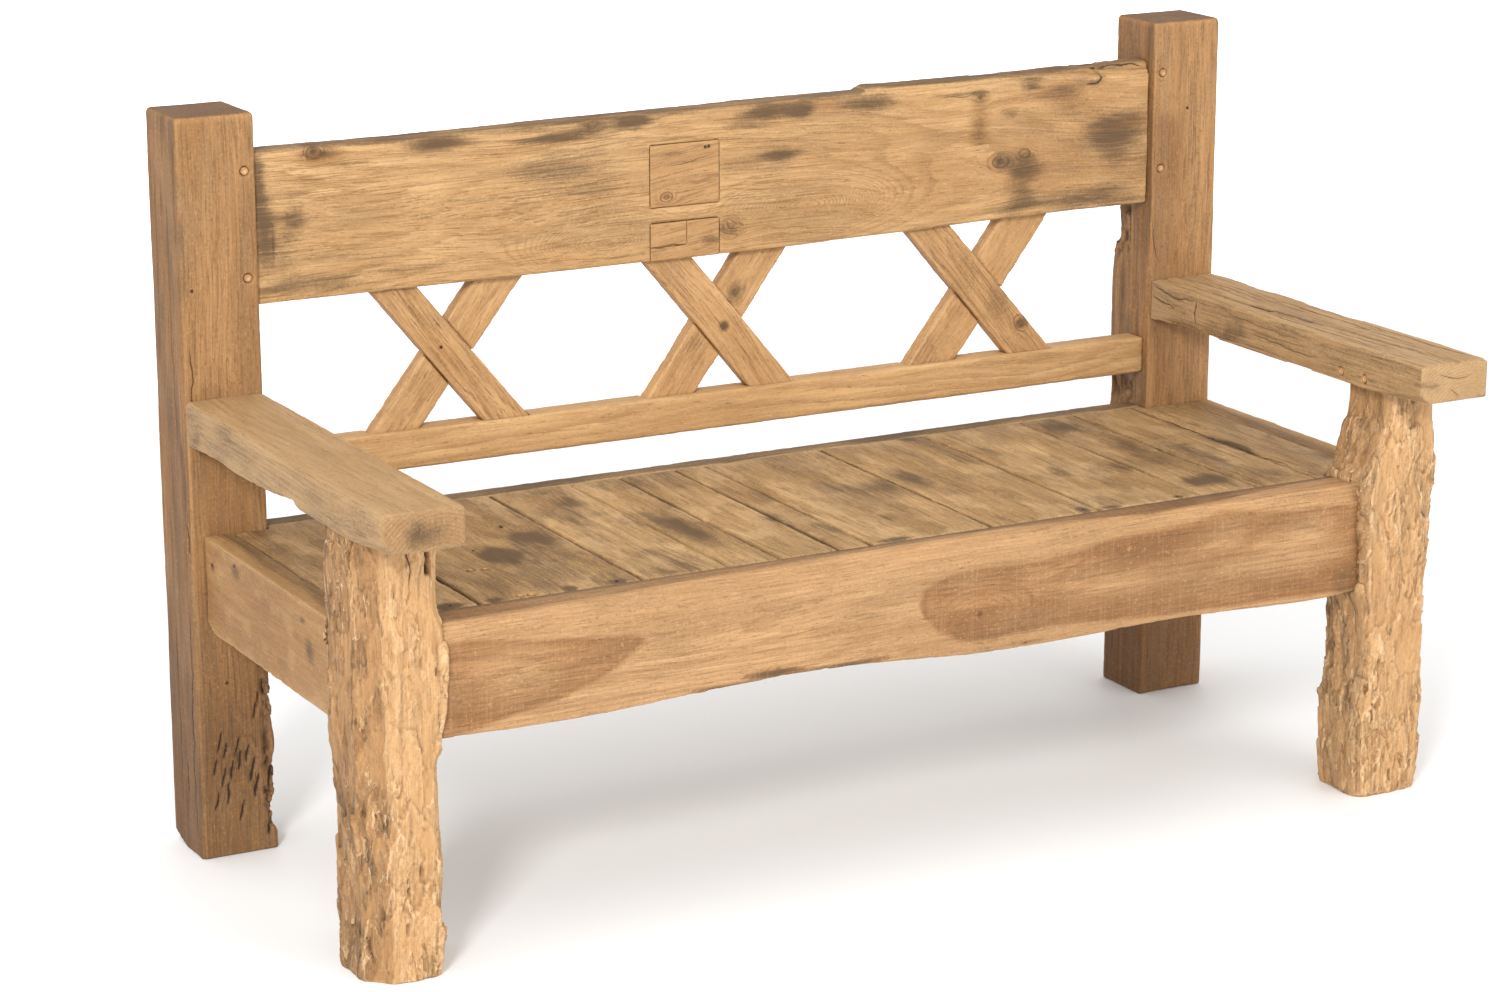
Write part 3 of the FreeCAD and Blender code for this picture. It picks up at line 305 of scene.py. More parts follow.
def timber_finish(name, pale, deep, line, rings=0.3, ring_width=0.006, dashes=0.5, grey=0.2, saw=0.0,
                  chipped=0.0, rough=0.62, relief=0.0007, mottle=0.5, flow=0.55, lines=0.5, rub=0.4,
                  rubbed_and_highlight=None, speckle=0.3):
    """Wood whose fibres, rings, stains and wear follow the marks on the piece."""
    n = Nodes(name)
    pale, deep, line, rubbed_and_highlight = (tint(*colour) for colour in (pale, deep, line, rubbed_and_highlight or pale))
    laid, ring, knot = n.mark("fibre", True), n.mark("ring"), n.mark("knot")
    stain, worn, hollow, heart_and_shade = n.mark("stain"), n.mark("worn"), n.mark("hollow"), n.mark("heart_and_shade")
    split, gape, lively = n.mark("split"), n.mark("gape"), n.maths("SUBTRACT", 1.0, n.mark("calm"))
    bends = n.noise(laid, (4, 14, 14), 2, 0.5, "Color")
    bends = n.vector("MULTIPLY_ADD", bends, (0.0, 0.014, 0.014), (0.0, -0.007, -0.007))
    fibre = n.vector("ADD", laid, bends)
    broad = n.noise(fibre, (3.2, 16, 16), 4, 0.62)
    streak = n.noise(fibre, (6, 80, 80), 6, 0.68)
    dash = n.noise(fibre, (10, 230, 230), 4, 0.62)
    fine = n.noise(fibre, (5, 430, 430), 5, 0.72)
    fleck = n.noise(fibre, (60, 560, 560), 3, 0.6)
    dust = n.noise(laid, (240, 240, 240), 4, 0.7)
    # fibres and rings
    wave = n.maths("FRACT", n.plus(streak, 1.1, n.maths("DIVIDE", ring, ring_width)))
    late = n.times(n.ranged(wave, 0.45, 0.92), n.ranged(wave, 1.0, 0.94))
    late = n.times(late, n.maths("MAXIMUM", n.ranged(broad, 0.3, 0.62, 0.2, 1.0), knot))
    base = n.mixed(n.ranged(streak, 0.28, 0.72, 0.5 - flow / 2, 0.5 + flow / 2), deep, pale)
    base = n.mixed(n.ranged(broad, 0.62, 0.36, 0.0, mottle), base, deep)
    base = n.mixed(n.times(late, n.plus(knot, 0.6, rings)), base, line)
    base = n.mixed(n.times(n.ranged(dash, 0.53, 0.67, 0.0, dashes), lively), base, line)
    base = n.mixed(n.times(n.ranged(fine, 0.50, 0.66, 0.0, lines), lively), base, line)
    base = n.mixed(n.ranged(fleck, 0.58, 0.70, 0.0, 0.45), base, pale)
    # age, wear and stains, with painted shade and painted highlight
    # Heartwood, and painted shade on shaded sides, from the heart mark.
    base = n.mixed(n.times(heart_and_shade, 0.85), base, n.mixed(0.95, base, HEART_AND_SHADE_TINT, "MULTIPLY"))
    greyness = n.ranged(n.noise(fibre, (4.1, 24, 24), 5, 0.7), 0.46, 0.68, 0.0, grey)
    base = n.mixed(greyness, base, GREYED)
    # Wear on edges, and painted highlight on what stands out, from the worn mark.
    base = n.mixed(n.times(worn, rub), base, rubbed_and_highlight)
    # Stains, and the painted shade on shaded sides and along edges that the stain mark carries, soak the
    # wood dark.
    soak = n.swung(dust, 0.5, n.swung(fine, 0.9, n.swung(streak, 1.1, stain)))
    soak = n.ranged(soak, 0.04, 0.98, 0.0, 0.92)
    base = n.mixed(soak, base, SOAKED)
    base = n.mixed(n.ranged(fleck, 0.38, 0.28, 0.0, 0.5), base, FLECKED)
    base = n.mixed(n.ranged(dust, 0.56, 0.70, 0.0, speckle), base, line)
    clean = n.plus(soak, -1.6, 1.0, True)
    base = n.mixed(n.times(n.ranged(dust, 0.44, 0.30, 0.0, speckle), clean), base, pale)
    # Dirt in pits and painted shade in dips, corners and slits, from the hollow mark.
    base = n.mixed(n.times(hollow, 0.85), base, GRIME_AND_SHADE)
    height = n.plus(streak, 0.6, n.plus(fine, 0.7, n.times(late, -0.4 * rings)))
    height = n.plus(n.ranged(fleck, 0.36, 0.27), -0.5, n.plus(dash, 0.4, height))
    height = n.plus(dust, 0.3, height)
    if saw:
        teeth = n.noise(laid, (380, 8, 8), 4, 0.65)
        sawn = n.plus(heart_and_shade, 0.7 * saw, 0.35 * saw)
        height = n.plus(teeth, 0.6 * saw, height)
        base = n.mixed(n.times(n.ranged(teeth, 0.50, 0.64, 0.0, 0.5), sawn), base, line)
        base = n.mixed(n.times(n.ranged(teeth, 0.48, 0.34, 0.0, 0.5), sawn), base, pale)
    if chipped:
        splinter = n.noise(fibre, (45, 210, 210), 5, 0.7)
        height = n.plus(splinter, chipped, height)
        base = n.mixed(n.ranged(splinter, 0.5, 0.75, 0.0, 0.3), base, deep)
        ragged = n.vector("MULTIPLY_ADD", n.noise(fibre, (50, 110, 110), 4, 0.65, "Color"),
                          (0.030, 0.012, 0.012), fibre)
        for stretch, lift, shadow in (((34, 105, 105), 1.6, 0.0020), ((80, 250, 250), 0.8, 0.0012)):
            plate, above = (n.cells(n.vector("ADD", ragged, shift), stretch)
                            for shift in ((0.0, 0.0, 0.0), (1.2 * shadow, shadow, -shadow)))
            height = n.plus(n.times(plate, lively), lift * chipped, height)
            base = n.mixed(n.ranged(plate, 0.65, 0.30, 0.0, 0.30 * lift), base, deep)
            # Painted shadow and painted highlight: each plate is compared with the plate a little way up
            # and to the left. Where that one stands higher, this plate is painted dark in the grain-line
            # colour. Where it lies lower, this plate is painted pale in the rubbed colour, as if lit from
            # the upper left.
            drop = n.times(n.maths("SUBTRACT", above, plate), lively)
            base = n.mixed(n.ranged(drop, 0.10, 0.45, 0.0, 0.45 * lift), base, line)
            base = n.mixed(n.ranged(drop, -0.10, -0.45, 0.0, 0.35 * lift), base, rubbed_and_highlight)
    # open cracks, painted dark inside as shade
    off_line = n.maths("ABSOLUTE", n.swung(dust, 2.2, split))
    gap = n.ranged(n.maths("DIVIDE", off_line, n.maths("MAXIMUM", gape, 0.02)), 1.1, 0.5)
    gap = n.times(gap, n.ranged(gape, 0.05, 0.8, 0.0, 1.0))
    base = n.mixed(n.times(gap, 0.88), base, CRACK_DARK)
    bump = n.put("Bump", {}, Strength=0.9, Distance=relief, Height=n.plus(gap, -2.0, height))
    n.join(base, n.shader.inputs["Base Color"])
    n.join(n.ranged(streak, 0.2, 0.8, rough + 0.1, rough - 0.08), n.shader.inputs["Roughness"])
    n.join(bump.outputs["Normal"], n.shader.inputs["Normal"])
    n.shader.inputs["Specular IOR Level"].default_value = 0.3
    return n.material


# Pale wood, deep wood and grain lines of each finish, and how it differs from plain timber.
WOODS = {
    "weathered_post": ((186, 143, 96), (138, 100, 61), (96, 66, 38), dict(
        rings=0.12, dashes=0.45, grey=0.4, saw=0.12, flow=0.65, lines=0.45, mottle=0.8, speckle=0.5)),
    "hewn_log": ((223, 184, 137), (185, 142, 95), (131, 92, 55), dict(
        rings=0.05, dashes=0.25, grey=0.0, chipped=0.8, relief=0.0012, flow=0.6, lines=0.4, rub=0.55,
        rubbed_and_highlight=(230, 196, 153), speckle=0.35)),
    "worn_arm": ((189, 157, 115), (154, 121, 82), (112, 83, 52), dict(
        rings=0.12, ring_width=0.005, dashes=0.4, lines=0.5, speckle=0.4)),
    "honey_rail": ((213, 175, 126), (165, 127, 83), (120, 85, 48), dict(
        rings=0.35, ring_width=0.0065, grey=0.3, flow=0.7, lines=0.65)),
    "patch_wood": ((201, 161, 114), (163, 125, 82), (118, 83, 49), dict(
        rings=0.4, ring_width=0.004, grey=0.0, lines=0.7, relief=0.0009)),
    "brace_wood": ((208, 169, 121), (168, 127, 82), (119, 83, 49), dict(
        rings=0.2, dashes=0.6, flow=0.75, lines=0.75, rub=0.6, speckle=0.4)),
    "front_slab": ((201, 160, 115), (156, 119, 80), (118, 84, 50), dict(
        dashes=0.45, grey=0.15, saw=0.28, flow=0.75, lines=0.55, mottle=0.7, speckle=0.45)),
    "seat_board_wood": ((207, 170, 120), (147, 115, 74), (98, 72, 43), dict(
        rings=0.15, ring_width=0.007, dashes=0.35, grey=0.35, mottle=1.0, flow=0.8, lines=0.55, rub=0.6,
        rubbed_and_highlight=(216, 184, 140), speckle=0.5)),
    "side_rail": ((198, 159, 109), (159, 122, 78), (120, 86, 50), dict(
        rings=0.1, dashes=0.3, grey=0.1, flow=0.5, lines=0.4, mottle=0.9, rub=0.6, rubbed_and_highlight=(210, 176, 129),
        speckle=0.4)),
    "peg_wood": ((186, 143, 100), (160, 118, 77), (136, 94, 58), dict(
        rings=0.1, ring_width=0.002, dashes=0.2, grey=0.0, rough=0.8, rub=0.9, rubbed_and_highlight=(210, 175, 134))),
}
finishes = {}
for wood, (*colours, settings) in WOODS.items():
    finishes[wood] = timber_finish(wood if wood.endswith("_wood") else wood + "_wood", *colours, **settings)


# ---- marks that follow the real bench
# Places and sizes in their tables are millimetres, and strengths are per cent.

def blots(points, plane, rows, feather=0.0, seed=5, cells=0.035):
    """Several oval stains together, each given by centre, half sizes and strength in a plane."""
    clear = np.ones(len(points))
    drift = layered(points, cells, seed, 4) - 0.5
    patchy = 0.7 + 0.6 * layered(points, cells, seed + 9, 3) if feather else 1.0
    rim = 1.4 if feather else 1.25
    for across, up, half_across, half_up, strength in np.array(rows) / (1000, 1000, 1000, 1000, 100):
        away = np.hypot((points[:, plane[0]] - across) / half_across, (points[:, plane[1]] - up) / half_up)
        clear *= 1 - min(strength, 0.97) * (1 - risen(away + feather * drift, 0.0, rim))
    return np.clip((1 - clear) * patchy, 0, 1)


def beside_path(points, plane, path):
    """Distance in metres from an open line in a plane, its side, and the share of the line run."""
    places, path = points[:, list(plane)], np.array(path) / 1000
    nearest, side, reached = np.full(len(points), FAR), np.ones(len(points)), np.zeros(len(points))
    lengths = np.hypot(*np.diff(path, axis=0).T)
    for number, (start, end) in enumerate(zip(path, path[1:])):
        run, offset = end - start, places - start
        share = np.clip((offset @ run) / (run @ run), 0, 1)
        away = np.hypot(*(offset - share[:, None] * run).T)
        closer = away < nearest
        nearest = np.where(closer, away, nearest)
        side = np.where(closer, np.sign(run[0] * offset[:, 1] - run[1] * offset[:, 0]), side)
        done = (lengths[:number].sum() + share * lengths[number]) / lengths.sum()
        reached = np.where(closer, done, reached)
    return nearest, side, reached


def from_outline(points, plane, outline):
    """Distance in metres from a closed outline in a plane, below zero inside it."""
    closed = outline + outline[:1]
    places, corners, inside = points[:, list(plane)], np.array(closed) / 1000, np.zeros(len(points), bool)
    for start, end in zip(corners, corners[1:]):
        level = (start[1] > places[:, 1]) != (end[1] > places[:, 1])
        slant = (end[0] - start[0]) / ((end[1] - start[1]) or 1e-9)
        inside ^= level & (places[:, 0] < slant * (places[:, 1] - start[1]) + start[0])
    nearest = beside_path(points, plane, closed)[0]
    return np.where(inside, -nearest, nearest)


def grained(timber, along, pith, seed, lean=(0.0, 0.0), knots=(), swirl=0.03):
    """Lay the grain along an axis, with rings round a leaning pith and lines that part round knots."""
    run = np.array(along, float)
    run /= np.linalg.norm(run)
    side = np.cross(run, (0, 1, 0) if abs(run[1]) < 0.9 else (0, 0, 1))
    side /= np.linalg.norm(side)
    axes = np.stack([run, side, np.cross(run, side)], axis=1)
    local = (timber.points - (timber.low + timber.high) / 2) @ axes
    wander = np.stack([layered(local, (0.35, 0.12, 0.12), seed + 30 + axis, 2) - 0.5
                       for axis in range(2)], axis=1)
    fibre = local.copy()
    fibre[:, 1:] += wander * swirl
    off_pith = fibre[:, 1:] - np.array(pith) - local[:, :1] * np.array(lean)
    ring, eyes = np.hypot(off_pith[:, 0], off_pith[:, 1]), np.zeros(len(local))
    for *centre, radius in np.array(knots) / 1000:
        offset = (timber.points - np.array(centre)) @ axes
        away = np.hypot(offset[:, 0] / 1.5, offset[:, 1])
        near = np.exp(-(offset[:, 2] / 0.05) ** 2)
        eye = (1 - risen(away, 0.8 * radius, 1.9 * radius)) * near
        ring = ring * (1 - eye) + (away - 1.35 * radius + ring[np.argmin(away)]) * eye
        fibre[:, 1] -= offset[:, 1] * radius ** 2 / (away ** 2 + 0.4 * radius ** 2) * near
        eyes = np.maximum(eyes, eye)
    timber.marks.update(ring=ring, knot=eyes, end=risen(np.abs(timber.normals() @ run), 0.75, 0.95))
    timber.marks["fibre"] = fibre + scrambled(np.array([[seed, seed, seed]]), seed) * 7


# ---- the pieces

def boxed(node):
    """Lowest and highest corner of a solid, as arrays."""
    low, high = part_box(node)
    return np.array(low), np.array(high)


def marked(timber, name, values):
    """Add a mark where it is stronger than what is there."""
    timber.marks[name] = np.clip(np.maximum(timber.marks.get(name, 0), values), 0, 1)


def uneven(timber, seed, depth):
    """Slight hollows of hand work and age."""
    points = timber.points
    waves = layered(points, 0.07, seed, 2) + 0.4 * layered(points, 0.018, seed + 4, 2)
    timber.push(depth * (waves - 1.1))


def grooved(timber, seed, depth, where=1.0, width=0.008, length=0.16, start=0.5, dark=0.5):
    """Soft grain weathered away in long grooves, dark at the bottom."""
    cut = patches(timber.marks["fibre"], (length, width, width), seed, start, start + 0.2) * where
    timber.push(-depth * cut)
    marked(timber, "stain", dark * cut)


def cracked(timber, plane, *cracks):
    """Open splits in a face, closed at both ends, each given by width, depth and path."""
    for width, depth, *path in cracks:
        width, depth = width / 1000, depth / 1000
        points = timber.points + 0.008 * (layered(timber.points, 0.02, 17, 2) - 0.5)[:, None]
        away, side, reached = beside_path(points, plane, path)
        facing = timber.normals() @ np.array(FACING[plane], float)
        here = (facing > 0.4) * (1 - np.abs(2 * reached - 1) ** 4)
        timber.push(-depth * here * (1 - risen(away, 0.3 * width, max(width, 0.003))))
        gape = 500 * width * here * (1 - risen(away, 0.006, 0.010))
        nearer = away < np.abs(timber.marks.get("split", np.full(len(points), 1000 * FAR))) / 1000
        timber.marks["split"] = np.where(nearer, 1000 * side * away, timber.marks.get("split", 0.0))
        timber.marks["gape"] = np.where(nearer, gape, timber.marks.get("gape", 0.0))
        marked(timber, "stain", 0.45 * here * (1 - risen(away, 0.002, 0.012)) * (width > 0.002))


def rotten(timber, zone, seed, depth, size=(0.013, 0.013, 0.04)):
    """Crumbled wood with deep narrow cavities."""
    lean = timber.points + (timber.points[:, 2:] * (0.25, 0, 0) if size[2] > size[0] else 0)
    share, rim, _ = flakes(lean, size, seed)
    small, small_rim, _ = flakes(lean, np.array(size) * 0.5, seed + 9)
    hole = risen(small, 0.82, 0.88) * risen(small_rim, 0.15, 0.5) * risen(zone, 0.3, 0.8)
    timber.push(-zone * depth * (0.2 + 0.8 * share + 0.3 * small) - 0.5 * depth * hole)
    # Painted shade in the holes and along the rims of the crumbs, through the hollow mark.
    marked(timber, "hollow", 0.9 * hole + 0.2 * zone * (1 - risen(rim, 0, 0.2)))


def shaped(node, voxel, along, pith, seed, slot, rounds=2, least=0.25, bite=0.0012, marks=None, blotch=0.3,
           dents=0.0008, end_grain=0.3, calm=0.0, finish=None, spared=None, **grain):
    """One timber: fine copy, worn edges, grain, marks and finish."""
    timber = Timber(node + "_timber", node, voxel)
    timber.wear(seed, rounds, least, bite, spared)
    grained(timber, along, pith, seed, **grain)
    uneven(timber, seed + 200, dents)
    if marks:
        marks(timber)
    clouds = patches(timber.marks["fibre"], (0.16, 0.035, 0.035), seed + 70, 0.52, 0.78)
    end = timber.marks.pop("end")
    # Painted shade: a patchy dark line along the edges, where rounded edges turn away from the light, goes
    # into the stain mark.
    edge_shade = 0.5 * timber.edge * patches(timber.points, 0.05, seed + 90, 0.42, 0.62)
    stain = np.maximum(timber.marks.get("stain", 0), np.maximum(blotch * clouds, edge_shade)) + end_grain * end
    timber.marks["stain"] = np.clip(stain, 0, 1)
    marked(timber, "calm", np.maximum(calm, 0.8 * end))
    marked(timber, "knot", 0.45 * end)
    return timber.finish(finishes[finish or slot], slot)


def by_patches(points):
    """Pocket of the top back rail that takes the patches, with its rim."""
    return (points[:, 0] > -0.13) & (points[:, 0] < -0.008) & (points[:, 2] < 0.908) & (points[:, 1] < 0.29)


def let_in(points):
    """Ends of the front rail, next to and inside the legs."""
    return np.abs(points[:, 0] - 0.0085) > 0.668


def hewn(timber, seed):
    """Peeled log surface: plates of torn wood at different heights, fibres between them and a few pits."""
    marks = timber.marks
    points, normals = timber.points.copy(), timber.normals()
    fade = (1 - risen(-normals[:, 2], 0.5, 0.9)) * risen(timber.high[2] - points[:, 2], 0.03, 0.045)
    rough = patches(points, (0.05, 0.05, 0.10), seed + 80, 0.30, 0.58, 2)
    torn = points.copy()
    for axis, reach in enumerate((0.014, 0.014, 0.034)):
        torn[:, axis] += reach * (layered(points, (0.014, 0.014, 0.04), seed + 20 + axis, 3) - 0.5)
    depth = 0.006 * (layered(points, (0.06, 0.06, 0.15), seed, 2) - 0.5)
    depth += 0.0032 * (layered(points, (0.009, 0.009, 0.18), seed + 3, 3) - 0.5)
    tone = np.zeros(len(points))
    for size, lift, least, dull in (((0.022, 0.022, 0.060), 0.0072, 0.55, 0.28),
                                    ((0.011, 0.011, 0.030), 0.0040, 0.45, 0.16)):
        share, _, drop = flakes(torn, size, seed + 9)
        plate = np.maximum(least, rough) * share * (0.7 + 0.6 * np.clip(drop, -0.6, 0.6))
        depth += lift * plate
        tone += dull * (1 - share) * np.maximum(least, rough)
        seed += 31
    share, rim, _ = flakes(points, (0.0045, 0.0045, 0.018), seed + 39)
    pits = risen(share, 0.93, 0.94) * risen(rim, 0.1, 0.4) * rough
    # The pits are painted dark as shade through the hollow mark.
    marks["hollow"] = 0.85 * pits
    marks["stain"] = tone * (0.5 + layered(points, (0.02, 0.02, 0.08), seed + 49, 3))
    marks["calm"] = 0.5 * (1 - rough)
    marks["stain"] += 0.28 * patches(points, (0.012, 0.012, 0.07), seed + 55, 0.54, 0.68)
    timber.push((depth - 0.0045 * pits - 0.0048) * fade)
    straight_foot(timber)
    return normals


def straight_foot(timber):
    """Keep the rim of the foot inside the outline just above it."""
    middle = (timber.low[:2] + timber.high[:2]) / 2
    arms, rise = timber.points[:, :2] - middle, timber.points[:, 2] - timber.low[2]
    reach, turn = np.hypot(*arms.T), np.arctan2(arms[:, 1], arms[:, 0])
    sector = np.round((turn + math.pi) * 10).astype(int)
    above = (rise > 0.007) & (rise < 0.014)
    limit = np.array([reach[above & (sector == number)].mean() for number in range(64)])
    most = np.interp(turn, np.arange(64) / 10 - math.pi, limit, period=2 * math.pi)
    share = np.minimum(1, (most - 0.0012 * (1 - risen(rise, 0.0, 0.006))) / np.maximum(reach, 1e-6))
    timber.points[:, :2] = np.where((rise < 0.009)[:, None], middle + arms * share[:, None],
                                    timber.points[:, :2])


HEAD_SLIT = ((-686.5, 580), (-688, 550), (-691.5, 545), (-692.5, 515))
LEFT_LEG_STAINS = (
    (-770, 540, 30, 50, 60), (-760, 400, 20, 100, 40), (-775, 200, 14, 120, 35), (-700, 30, 60, 20, 30),
)
RIGHT_LEG_REDS = ((700, 300, 30, 70, 60), (750, 240, 50, 30, 40))


def leg_marks(timber, side, seed):
    """Hewn log: fuller beside the front rail, painted shade on its left-facing side, with stains and a
    split head on the left one.
    """
    marks = timber.marks
    facing = hewn(timber, seed)
    points = timber.points
    beside = risen(facing[:, 0] if side == "left" else -facing[:, 0], 0.1, 0.6)
    timber.push(0.006 * beside * risen(points[:, 2], 0.265, 0.30) * (1 - risen(points[:, 2], 0.44, 0.47)))
    if side == "left":
        away = beside_path(points, FRONT, HEAD_SLIT)[0]
        gap = (1 - risen(away, 0.001, 0.0045)) * (facing[:, 1] < -0.5)
        timber.push(-0.012 * gap)
        # The slit is painted dark as shade through the hollow mark.
        marks["hollow"] = np.maximum(marks["hollow"], gap)
        # Painted shade: the left-facing side of the log is darkened and warmed through the stain and heart
        # marks.
        shady = risen(-facing[:, 0], 0.2, 0.9) * (0.5 + layered(points, (0.03, 0.03, 0.06), 93, 3))
        marks["stain"] += 0.42 * shady
        marks["heart_and_shade"] = shady
        marked(timber, "stain", blots(points, FRONT, LEFT_LEG_STAINS, 1.5))
        cracked(timber, FRONT, (2, 1, (-716, 595), (-717.5, 550), (-716.5, 500)))
    else:
        # Painted shade: the left-facing side is darkened through the stain mark.
        marks["stain"] += 0.38 * risen(-facing[:, 0], 0.3, 0.9)
        marks["heart_and_shade"] = blots(points, FRONT, RIGHT_LEG_REDS, 1.5)
    timber.shade(1000)


TOP_RAIL_STAINS = (
    (-679, 835, 18, 60, 85), (-686, 900, 12, 50, 80), (-637, 850, 24, 34, 60), (-655, 800, 30, 50, 40),
    (-680, 944, 14, 4, 80), (-597, 930, 36, 16, 60), (-565, 912.5, 40, 3, 60), (-442.5, 931, 60, 15, 80),
    (-260, 921, 55, 9, 85), (-207.5, 935, 30, 12, 60), (-147.5, 935, 40, 15, 100), (-260, 875, 90, 25, 40),
    (-600, 758, 90, 14, 50), (-450, 765, 100, 12, 30), (-400, 850, 60, 6, 35), (-240, 870, 120, 50, 22),
    (-200, 830, 100, 30, 20), (-460, 835, 40, 4, 40), (60, 934, 70, 22, 100), (112.5, 929, 28, 14, 100),
    (207.5, 931, 60, 17, 90), (80, 870, 36, 14, 70), (60, 870, 80, 35, 35), (1, 775, 26, 22, 50),
    (400, 925, 18, 12, 60), (400, 875, 16, 24, 50), (450, 898, 16, 7, 60), (380, 931, 60, 3, 50),
    (485, 935, 30, 12, 80), (540, 925, 70, 18, 60), (550, 900, 40, 15, 45), (436, 829, 18, 14, 70),
    (475, 832, 36, 22, 75), (472.5, 790, 32, 40, 60), (610, 858, 45, 20, 85), (650, 862, 50, 22, 65),
    (627.5, 820, 28, 26, 50), (550, 765, 140, 18, 50), (600, 830, 100, 80, 28), (660, 800, 60, 120, 25),
)
TOP_RAIL_REDS = (
    (-440, 935, 30, 12, 80), (-207.5, 935, 30, 10, 60), (147, 932, 40, 18, 100), (400, 895, 20, 45, 100),
    (550, 925, 60, 25, 80), (472.5, 790, 40, 50, 50), (-597, 930, 34, 14, 100), (650, 868, 30, 12, 90),
    (0, 775, 20, 18, 50), (560, 860, 140, 140, 50), (250, 840, 220, 100, 35),
)
TOP_RAIL_KNOTS = (
    (-607.5, 275, 932.5, 10), (-207.5, 275, 935, 8), (1, 275, 775, 12), (436, 275, 829, 12),
    (475, 275, 838, 8), (400, 275, 925, 8),
)
TOP_RAIL_ROT = ((600, 952, 50, 12, 100), (280, 955, 50, 6, 80), (50, 952, 80, 6, 60))
TOP_RAIL_EYES = (
    (-609.5, 933.5, 10, 9, 100), (-595, 930, 9, 3, 70), (1, 775, 6, 5, 90), (432, 831, 6, 3, 80),
    (-667, 820, 3, 30, 80),
)
TOP_RAIL_CRACKS = (
    (2.8, 1.4, (575, 927.5), (598, 930), (605, 937.5), (602, 946)),
    (1.8, 0.9, (605, 949), (628, 952.5), (655, 949), (682, 947.5)),
    (0.8, 0.4, (625, 812.5), (645, 812), (668, 810)), (3, 1.5, (-690, 945), (-675, 944), (-662, 945)),
    (0.7, 0.35, (-640, 899.5), (-600, 898.5), (-570, 899)),
    (0.7, 0.35, (-240, 855), (-200, 858), (-150, 865)), (0.9, 0.45, (330, 926.5), (360, 928.5), (400, 929)),
    (0.7, 0.35, (40, 772.5), (80, 768), (130, 764)),
)
TOP_RAIL_FLAMES = ((120, 800, 100, 30, 6), (-200, 775, 90, 35, 3.5))


def rail_marks(timber):
    """Top back rail: stains, flames in the grain and a crumbled crest."""
    marks = timber.marks
    points = timber.points
    along = (0.10, 0.03, 0.018)
    behind = risen(timber.normals()[:, 1], 0.3, 0.7)
    marks["stain"] = 1.1 * (1 - behind) * blots(points, FRONT, TOP_RAIL_STAINS, 1.6, 5, along)
    marks["stain"] += 0.7 * behind * patches(points, (0.14, 0.03, 0.03), 439, 0.45, 0.75)
    marks["heart_and_shade"] = 0.9 * (1 - behind) * blots(points, FRONT, TOP_RAIL_REDS, 1.4, 15, along)
    marks["calm"] = 0.45 * risen(points[:, 0], 0.05, 0.25)
    above = risen(points[:, 2] - 0.935 - 0.010 * np.sin(points[:, 0] * 5), 0.0, 0.012)
    marked(timber, "stain", 0.55 * above * (0.3 + 0.9 * layered(points, along, 441, 3)))
    places = np.clip(((points[:, 0] - timber.low[0]) / 0.008).astype(int), 0, 200)
    crest = np.zeros(201)
    np.maximum.at(crest, places, points[:, 2])
    rim = 1 - risen(crest[places] - points[:, 2], 0.001, 0.008)
    marked(timber, "stain", 0.85 * rim * (0.35 + 0.9 * layered(points, along, 449, 2)))
    grooved(timber, 443, 0.0014, above, 0.006, 0.12)
    for centre, up, half, height, stretch in np.array(TOP_RAIL_FLAMES) / (1000, 1000, 1000, 1000, 1):
        flame = np.exp(-((points[:, 0] - centre) / half) ** 2 - ((points[:, 2] - up) / height) ** 2)
        cup = np.hypot((points[:, 0] - centre - (0.02 if centre > 0 else 0.09)) / stretch,
                       points[:, 2] - up + 0.01)
        marks["ring"] = flame * cup + (1 - flame) * marks["ring"]
        marked(timber, "knot", 0.35 * risen(flame, 0.3, 0.8))
    rotten(timber, blots(points, FRONT, TOP_RAIL_ROT), 445, 0.005, (0.03, 0.012, 0.010))
    marked(timber, "hollow", blots(points, FRONT, TOP_RAIL_EYES))
    cracked(timber, FRONT, *TOP_RAIL_CRACKS)
    timber.shade(700)
    # Less of the dirt and painted shade of the hollow mark in the pocket that takes the patches.
    pocket = blots(points, FRONT, ((-69, 820, 100, 140, 100),)) > 0.3
    marks["hollow"] = np.where(pocket, 0.35, 1.0) * marks["hollow"]


LEFT_HEARTWOOD = (
    (-800, 424), (-670, 422.5), (-625, 420), (-570, 415), (-525, 406), (-480, 398.5), (-420, 397.5),
    (-400, 390), (-412.5, 375), (-445, 355), (-480, 340), (-525, 327.5), (-580, 319), (-640, 305),
    (-800, 295),
)
RIGHT_HEARTWOOD = (
    (-8, 375), (5, 395), (35, 407.5), (90, 411), (155, 409), (230, 412.5), (290, 424), (370, 427.5),
    (470, 435), (520, 427.5), (580, 422.5), (800, 414), (800, 300), (590, 300), (440, 305), (340, 307.5),
    (250, 315), (190, 319), (85, 315), (55, 319), (20, 335), (0, 355),
)
SLAB_PALE = (
    (600, 380, 70, 38, 95), (315, 362.5, 110, 22, 70), (-580, 375, 60, 45, 60), (460, 400, 50, 20, 80),
    (500, 355, 110, 30, 60),
)
SLAB_DARK = (
    (360, 408, 150, 18, 70), (600, 325, 140, 20, 45), (-470, 385, 70, 20, 35), (-620, 330, 50, 20, 30),
    (100, 352, 50, 16, 35), (0, 375, 12, 30, 50),
)
SLAB_RED = ((420, -190, 260, 90, 100), (-620, -200, 100, 60, 80), (330, -188, 20, 10, 100))
SLAB_LOW = (
    (670, 320, 30, 30, 60), (-212.5, 316, 60, 7, 90), (-115, 311, 90, 6, 80), (-290, 309, 60, 4, 70),
    (-100, 345, 60, 20, 30),
)
